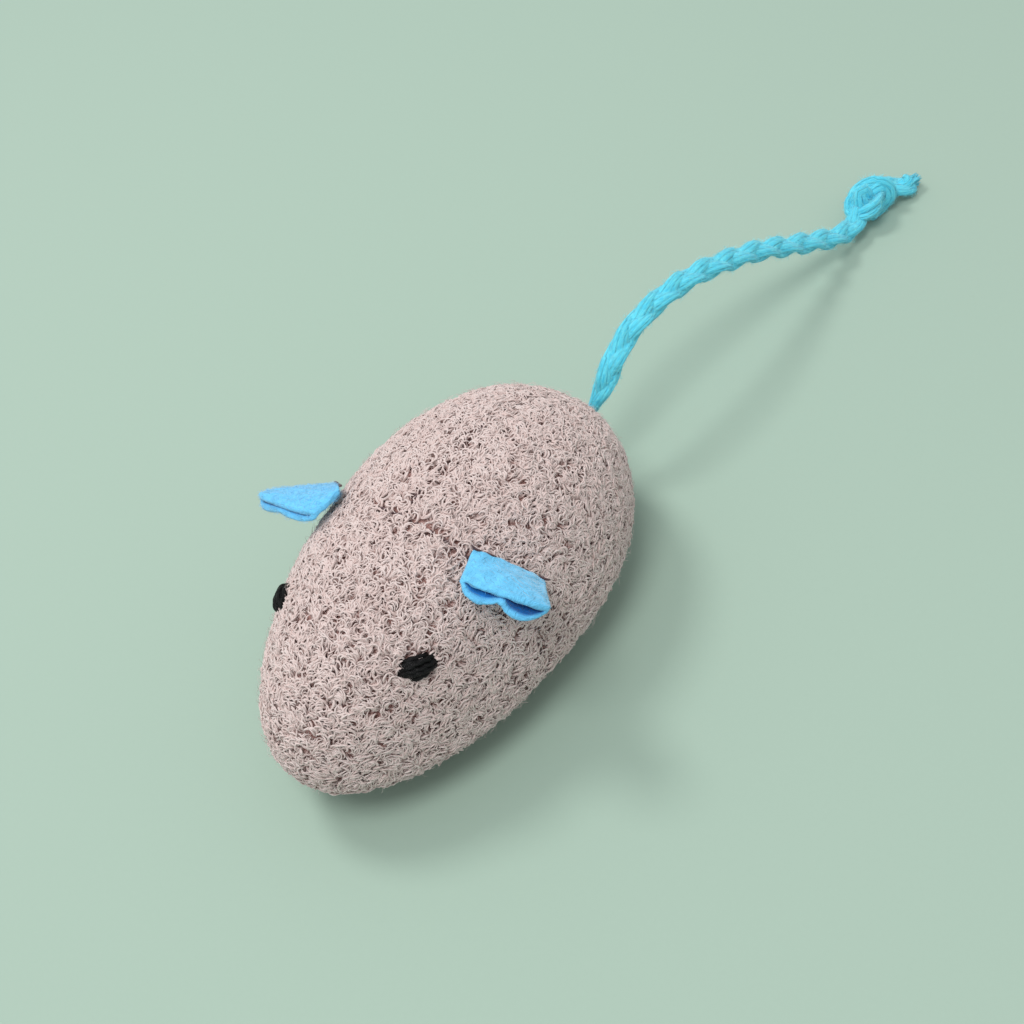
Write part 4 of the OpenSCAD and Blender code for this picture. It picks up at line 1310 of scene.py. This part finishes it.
class MOUSE_OT_ears(bpy.types.Operator):
    """Cuts and folds the felt ears"""

    bl_idname = "mouse.ears"
    bl_label = "Ears"

    def execute(self, context):
        for side, node in ((1, "ear_left"), (-1, "ear_right")):
            points, faces, fold = self.shape(context.scene.mouse_felt, side)
            ear = solid(node + "_felt", points, faces, felt_finish())
            values(ear, "fold", fold)
            put(ear, node, "felt", node)
            ground = linked("ground", ear.data.copy())
            plain_ground(ground, 1 - smooth_step(0.0, 0.3, fold))
            fuzz = grown(ground, "Curly pile", node + "_fuzz", density=6e6, length=0.6 * MM,
                         height=0.26 * MM, radius=0.02 * MM, curl=1.6, lock_size=0.5 * MM,
                         gather=0.0, disorder=1.0, droop=0.6, segments=3, seed=70 + side,
                         material=felt_fuzz_finish())
            discard(ground)
            put(fuzz, node, "felt")
        return {"FINISHED"}

    def shape(self, s, side):
        """A folded pocket of felt: an outer loop, an inner loop and a rounded rim."""
        base_in, base_out, edge_in, edge_out = ear_corners()
        normal = -unit(np.cross(base_out - base_in, edge_out - base_in))
        if side < 0:
            outward = unit(edge_out - edge_in + 0.5 * (edge_out - base_out))
            edge_out = edge_out + outward * s.reach / MM
        layer = s.layer / MM
        around, steps = 96, 26
        phi = np.arange(around) * FULL_TURN / around

        def middle(u, v):
            u = u[..., None]
            v = v[..., None]
            base = base_in + (base_out - base_in) * u
            edge = edge_in + (edge_out - edge_in) * u
            reach = v * (1 - 0.2 * np.abs(2 * u - 1) ** 3)
            crown = 0.55 * (1 - (2 * u - 1) ** 2) * np.sin(math.pi * np.clip(v, 0, 1) * 0.75)
            return base + (edge - base) * reach + normal * (crown - 0.35 * v**2)

        open_by = 1 if side > 0 else 0.25

        def mouth(u, v):
            gap = 0
            for high, start, wide in ((s.inner_mouth, 0.03, 0.41), (s.outer_mouth, 0.49, 0.48)):
                arch = np.sin(math.pi * np.clip((u - start) / wide, 0, 1))
                gap = gap + high / MM * np.maximum(arch, 0) ** 0.7
            return gap * smooth_step(0.2, 1.0, v) * open_by

        def loop(v, inner):
            flat = np.sign(np.cos(phi)) * np.abs(np.cos(phi)) ** 0.8
            rise = np.sign(np.sin(phi)) * np.abs(np.sin(phi)) ** 0.45
            u = 0.5 - 0.5 * flat * (1 - (0.13 if inner else 0))
            v = np.full_like(u, v)
            gap = mouth(u, v)
            thin = 0.86 + 0.14 * smooth_step(0, 0.6, v)
            half = gap / 2 + (0 if inner else layer * thin)
            half = np.maximum(half, 0.03)
            top = 0.55 * smooth_step(0.2, 1, v)
            return middle(u, v) + normal * (rise * half + top - gap / 2)[:, None]

        vs = np.linspace(0, 1, steps)
        outer = [loop(v, False) for v in vs]
        inner_vs = np.linspace(1, 0.25, steps - 8)
        inner = [loop(v, True) for v in inner_vs]
        forward = unit((edge_in + edge_out) / 2 - (base_in + base_out) / 2)
        lip = (0.55 * outer[-1] + 0.45 * inner[0]) + forward * 0.3
        near_out = 0.9 * outer[-1] + 0.1 * inner[0] + forward * 0.18
        near_in = 0.1 * outer[-1] + 0.9 * inner[0] + forward * 0.18
        rings = outer + [near_out, lip, near_in] + inner
        n = len(rings)
        points = np.vstack(rings + [outer[0].mean(0)[None], inner[-1].mean(0)[None]])
        faces = ring_faces(n, around)
        # fold is 1 on the inner loop. It is the mask of the painted shade inside the pocket, and
        # little fuzz grows there either.
        fold = [0.0] * steps + [0.0, 0.0, 0.25] + [1 - 0.6 * (v > 0.97) for v in inner_vs]
        fold = np.concatenate([np.repeat(fold, around), [0, 1]])
        rng = np.random.default_rng(5 + side)
        wobble = sum(np.sin(points @ rng.normal(0, f, 3) + rng.uniform(0, 6)) * h
                     for f, h in ((1.1, 0.05), (1.6, 0.04), (2.6, 0.025), (3.4, 0.02)))
        points = points + normal * wobble[:, None]
        return hang(points, side), faces, fold


def eye_frame(side):
    """Middle of an eye, its normal, and the directions of its long and short axes."""
    s = bpy.context.scene.mouse_eye
    x, a = np.array(s.place / MM), np.array(math.degrees(s.angle))
    c, n, along, _ = skin_frame(x, a)
    across = np.cross(n, along)
    long_way = along * math.cos(s.tilt) + across * math.sin(s.tilt)
    short_way = np.cross(n, long_way)
    mirror = np.array((1, side, 1))
    return c * mirror, n * mirror, long_way * mirror, short_way * mirror


class MOUSE_OT_eyes(bpy.types.Operator):
    """Embroiders the eyes"""

    bl_idname = "mouse.eyes"
    bl_label = "Eyes"

    def execute(self, context):
        s = context.scene.mouse_eye
        for side, node in ((1, "eye_left"), (-1, "eye_right")):
            c, n, l, w = eye_frame(side)
            rng = np.random.default_rng(21 + side)
            half_l, half_w, r = s.length / MM / 2, s.width / MM / 2, s.thread_radius / MM
            parts = []
            passes = [(q, 0.0, rng.uniform(-0.1, 0.1)) for q in np.linspace(-1, 1, 6)]
            passes += [(q, 0.42, rng.uniform(-0.25, 0.25)) for q in (-0.45, 0.1, 0.5)]
            for place, height, slant in passes:
                reach = (half_l - 0.1) * math.sqrt(max(0.15, 1 - (0.8 * place) ** 2))
                t = np.linspace(-1, 1, 15)
                low = np.clip(1 - np.abs(t) ** 3.2, 0, 1)
                crown = 0.42 * math.sqrt(1 - (0.75 * place) ** 2) + height
                jitter = 0.07 * np.sin(2.4 * t + rng.uniform(0, 6))
                line = (c + np.outer(t * reach, l)
                        + np.outer(place * (half_w - r) * (1 - 0.18 * t**2) + slant * t + jitter, w)
                        + np.outer(low * (crown + 0.55) - 0.75, n))
                line = smooth_line(line, 0.16)
                _, u, v = frames(line, n)

                def plies(run, theta):
                    twist = 5.2 * run
                    return 1 + 0.14 * np.cos(2 * theta - twist) + 0.04 * np.cos(7 * theta - twist)
                parts.append(tube(line, u, v, 2 * r, 2 * r, 14, plies))
            if side < 0:
                loose_end = (c + np.outer([-1.9, -2.6, -3.1], l)
                             + np.outer([0.5, 0.75, 0.6], w) + np.outer([0.1, 0.2, -0.5], n))
                line = smooth_line(loose_end, 0.16)
                _, u, v = frames(line, n)
                parts.append(tube(line, u, v, 0.4, 0.4, 8))
            points, faces, uv = joined(parts)
            eye = solid(node + "_stitched", points, faces, eye_thread_finish(), uv=uv)
            if side < 0:
                tidy(eye)
            put(eye, "body", "eye_thread", node)
        return {"FINISHED"}


class MOUSE_OT_seams(bpy.types.Operator):
    """Sews the seams and the bases of the ears"""

    bl_idname = "mouse.seams"
    bl_label = "Seams"

    def execute(self, context):
        s = context.scene.mouse_sewing
        half, seam, low = marks()
        depth = body().backing_depth / MM - 0.5
        back_x = np.linspace(-half + 1.5, seam, 90)
        side_x = np.linspace(-half + 3.5, half - 3.5, 120)
        runs = (
            ("seam_back", "thread_back_seam", back_x, 0),
            ("seam_cross", "thread_cross_seam", seam, np.linspace(-low + 2, low - 2, 90)),
            ("seam_belly_left", "thread_belly_left", side_x, low),
            ("seam_belly_right", "thread_belly_right", side_x, -low),
        )
        for i, (name, node, x, a) in enumerate(runs):
            put(self.run(name, skin(x, a, depth), s, 30 + i), "body", "seam_thread", node)
        base_in, base_out, edge_in, edge_out = ear_corners()
        normal = -unit(np.cross(base_out - base_in, edge_out - base_in))
        forward = unit(edge_in + edge_out - base_in - base_out)
        # Dark stitches along each ear's base, which also stand in as painted shade where the ear's
        # edge meets the fleece.
        t = np.linspace(0.03, 0.97, 30)[:, None]
        line = base_in + (base_out - base_in) * t + normal * 0.7 - forward * 0.12
        for side, rides in ((1, "ear_left"), (-1, "ear_right")):
            stitched = self.run("sewn_" + rides, hang(line, side), s, 60 + side)
            put(stitched, rides, "seam_thread")
        return {"FINISHED"}

    def run(self, name, line, s, seed):
        points = np.asarray(line, float) * MM
        mesh = bpy.data.meshes.new("seam line")
        mesh.from_pydata(points.tolist(), [(i, i + 1) for i in range(len(points) - 1)], [])
        path = linked("seam line", mesh)
        made = grown(path, "Stitch run", name, stitch=s.stitch, gap=s.gap, radius=s.radius,
                     seed=seed, material=sewing_finish())
        discard(path)
        return made


class MOUSE_OT_stuffing(bpy.types.Operator):
    """Fills the body with wadding"""

    bl_idname = "mouse.stuffing"
    bl_label = "Stuffing"

    def execute(self, context):
        for node in ("stuffing_head", "stuffing_middle", "stuffing_rump"):
            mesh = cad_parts[node].data.copy()
            work = bmesh.new()
            work.from_mesh(mesh)
            bmesh.ops.remove_doubles(work, verts=work.verts, dist=1e-6)
            long_edges = [e for e in work.edges if e.calc_length() > 2 * MM]
            bmesh.ops.subdivide_edges(work, edges=long_edges, cuts=1, use_grid_fill=True)
            work.normal_update()
            for v in work.verts:
                p = v.co / MM
                puff = (math.sin(0.9 * p.x + 0.4 * p.z) + math.sin(1.1 * p.y - 0.3 * p.x + 1)
                        + math.cos(1.2 * p.z + 0.5 * p.y)) / 3
                v.co -= v.normal * (0.16 + 0.14 * puff) * MM
            bmesh.ops.recalc_face_normals(work, faces=work.faces)
            work.to_mesh(mesh)
            work.free()
            mesh.materials.clear()
            mesh.materials.append(wadding_finish())
            mesh.shade_smooth()
            made = linked(node.replace("stuffing", "wadding"), mesh)
            put(made, "body", "stuffing", node)
        return {"FINISHED"}


class MOUSE_OT_cord(bpy.types.Operator):
    """Lays the pull cord and winds it on the drum"""

    bl_idname = "mouse.cord"
    bl_label = "Pull cord"

    def execute(self, context):
        low, high = (np.array(c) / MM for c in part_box("pull_cord"))
        middle = (low + high) / 2
        thick = (high - low)[2]

        def plies(run, theta):
            return 1 + 0.1 * np.cos(3 * theta - 4.2 * run) + 0.02 * np.cos(11 * theta - 4.2 * run)
        line = smooth_line([(x, middle[1], middle[2]) for x in (low[0], middle[0], high[0])], 0.15)
        _, u, v = frames(line, np.array((0.0, 0, 1)))
        points, faces, uv = tube(line, u, v, thick * 0.96, thick * 0.96, 18, plies)
        cord = solid("pull_cord_laid", points, faces, pull_cord_finish(), uv=uv)
        put(cord, "cord", "cord", "pull_cord")
        low, high = (np.array(c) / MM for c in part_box("cord_turns"))
        centre = (low + high) / 2
        radius = (high[0] - low[0] - thick) / 2
        turns = 2
        t = np.linspace(0, turns, 220)
        rise = (high[2] - low[2] - thick) * (t / turns - 0.5)
        line = np.stack([centre[0] + radius * np.cos(FULL_TURN * t),
                         centre[1] + radius * np.sin(FULL_TURN * t), centre[2] + rise], 1)
        _, u, v = frames(line, np.array((0.0, 0, 1)))
        points, faces, uv = tube(line, u, v, thick * 0.94, thick * 0.94, 14, plies)
        wound = solid("cord_turns_wound", points, faces, pull_cord_finish(), uv=uv)
        put(wound, "drum", "cord", "cord_turns")
        return {"FINISHED"}


class MOUSE_OT_works(bpy.types.Operator):
    """Finishes the wind-up works and their casing"""

    bl_idname = "mouse.works"
    bl_label = "Works"

    def execute(self, context):
        s = context.scene.mouse_works
        casing = plastic_finish("Moulded casing", tuple(s.casing), 900.0, 0.42)
        acetal = plastic_finish("Moulded acetal", tuple(s.acetal), 1500.0, 0.35)
        brass = metal_finish("Cut brass", tuple(s.brass), 0.28, 0.1)
        steel = metal_finish("Drawn steel", tuple(s.steel), 0.24, 0.06)
        finishes = {
            "casing_lower": casing, "casing_upper": casing, "cord_bush": brass,
            "tail_bush": plastic_finish("Moulded bush", tuple(s.bush), 1500.0, 0.5),
            "drum_core": acetal, "drum_wheel": brass, "idler_gear": brass,
            "eccentric_pinion": brass, "eccentric_weight": steel, "thrust_washers": steel,
            "drum_arbor": steel, "idler_arbor": steel, "eccentric_arbor": steel,
            "mainspring": steel, "casing_screws": steel,
        }
        for node, finish in finishes.items():
            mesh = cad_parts[node].data
            mesh.materials.clear()
            mesh.materials.append(finish)
        return {"FINISHED"}


class MOUSE_PT_build(bpy.types.Panel):
    """The mouse's pieces, in the order in which they are made"""

    bl_label = "Fleece mouse"
    bl_idname = "MOUSE_PT_build"
    bl_space_type = "VIEW_3D"
    bl_region_type = "UI"
    bl_category = "Mouse"

    def draw(self, context):
        for operator in OPERATORS:
            self.layout.operator(operator.bl_idname)
        for name in SETTINGS:
            group = getattr(context.scene, name)
            box = self.layout.box()
            for key in group.bl_rna.properties.keys():
                if key not in ("rna_type", "name"):
                    box.prop(group, key)


SETTINGS = {
    "mouse_body": MouseBodySettings, "mouse_fleece": MouseFleeceSettings,
    "mouse_felt": MouseFeltSettings, "mouse_eye": MouseEyeSettings,
    "mouse_tail": MouseTailSettings, "mouse_sewing": MouseSewingSettings,
    "mouse_works": MouseWorksSettings, "mouse_stage": MouseStageSettings,
}
OPERATORS = (MOUSE_OT_stage, MOUSE_OT_tail, MOUSE_OT_fleece, MOUSE_OT_ears, MOUSE_OT_eyes,
             MOUSE_OT_seams, MOUSE_OT_stuffing, MOUSE_OT_cord, MOUSE_OT_works)


def register():
    for cls in (*SETTINGS.values(), *OPERATORS, MOUSE_PT_build):
        bpy.utils.register_class(cls)
    for name, cls in SETTINGS.items():
        setattr(bpy.types.Scene, name, PointerProperty(type=cls))


def unregister():
    for name in SETTINGS:
        delattr(bpy.types.Scene, name)
    for cls in reversed((*SETTINGS.values(), *OPERATORS, MOUSE_PT_build)):
        bpy.utils.unregister_class(cls)


def main():
    register()
    for operator in OPERATORS:
        group, name = operator.bl_idname.split(".")
        getattr(getattr(bpy.ops, group), name)()


if __name__ == "__main__":
    main()
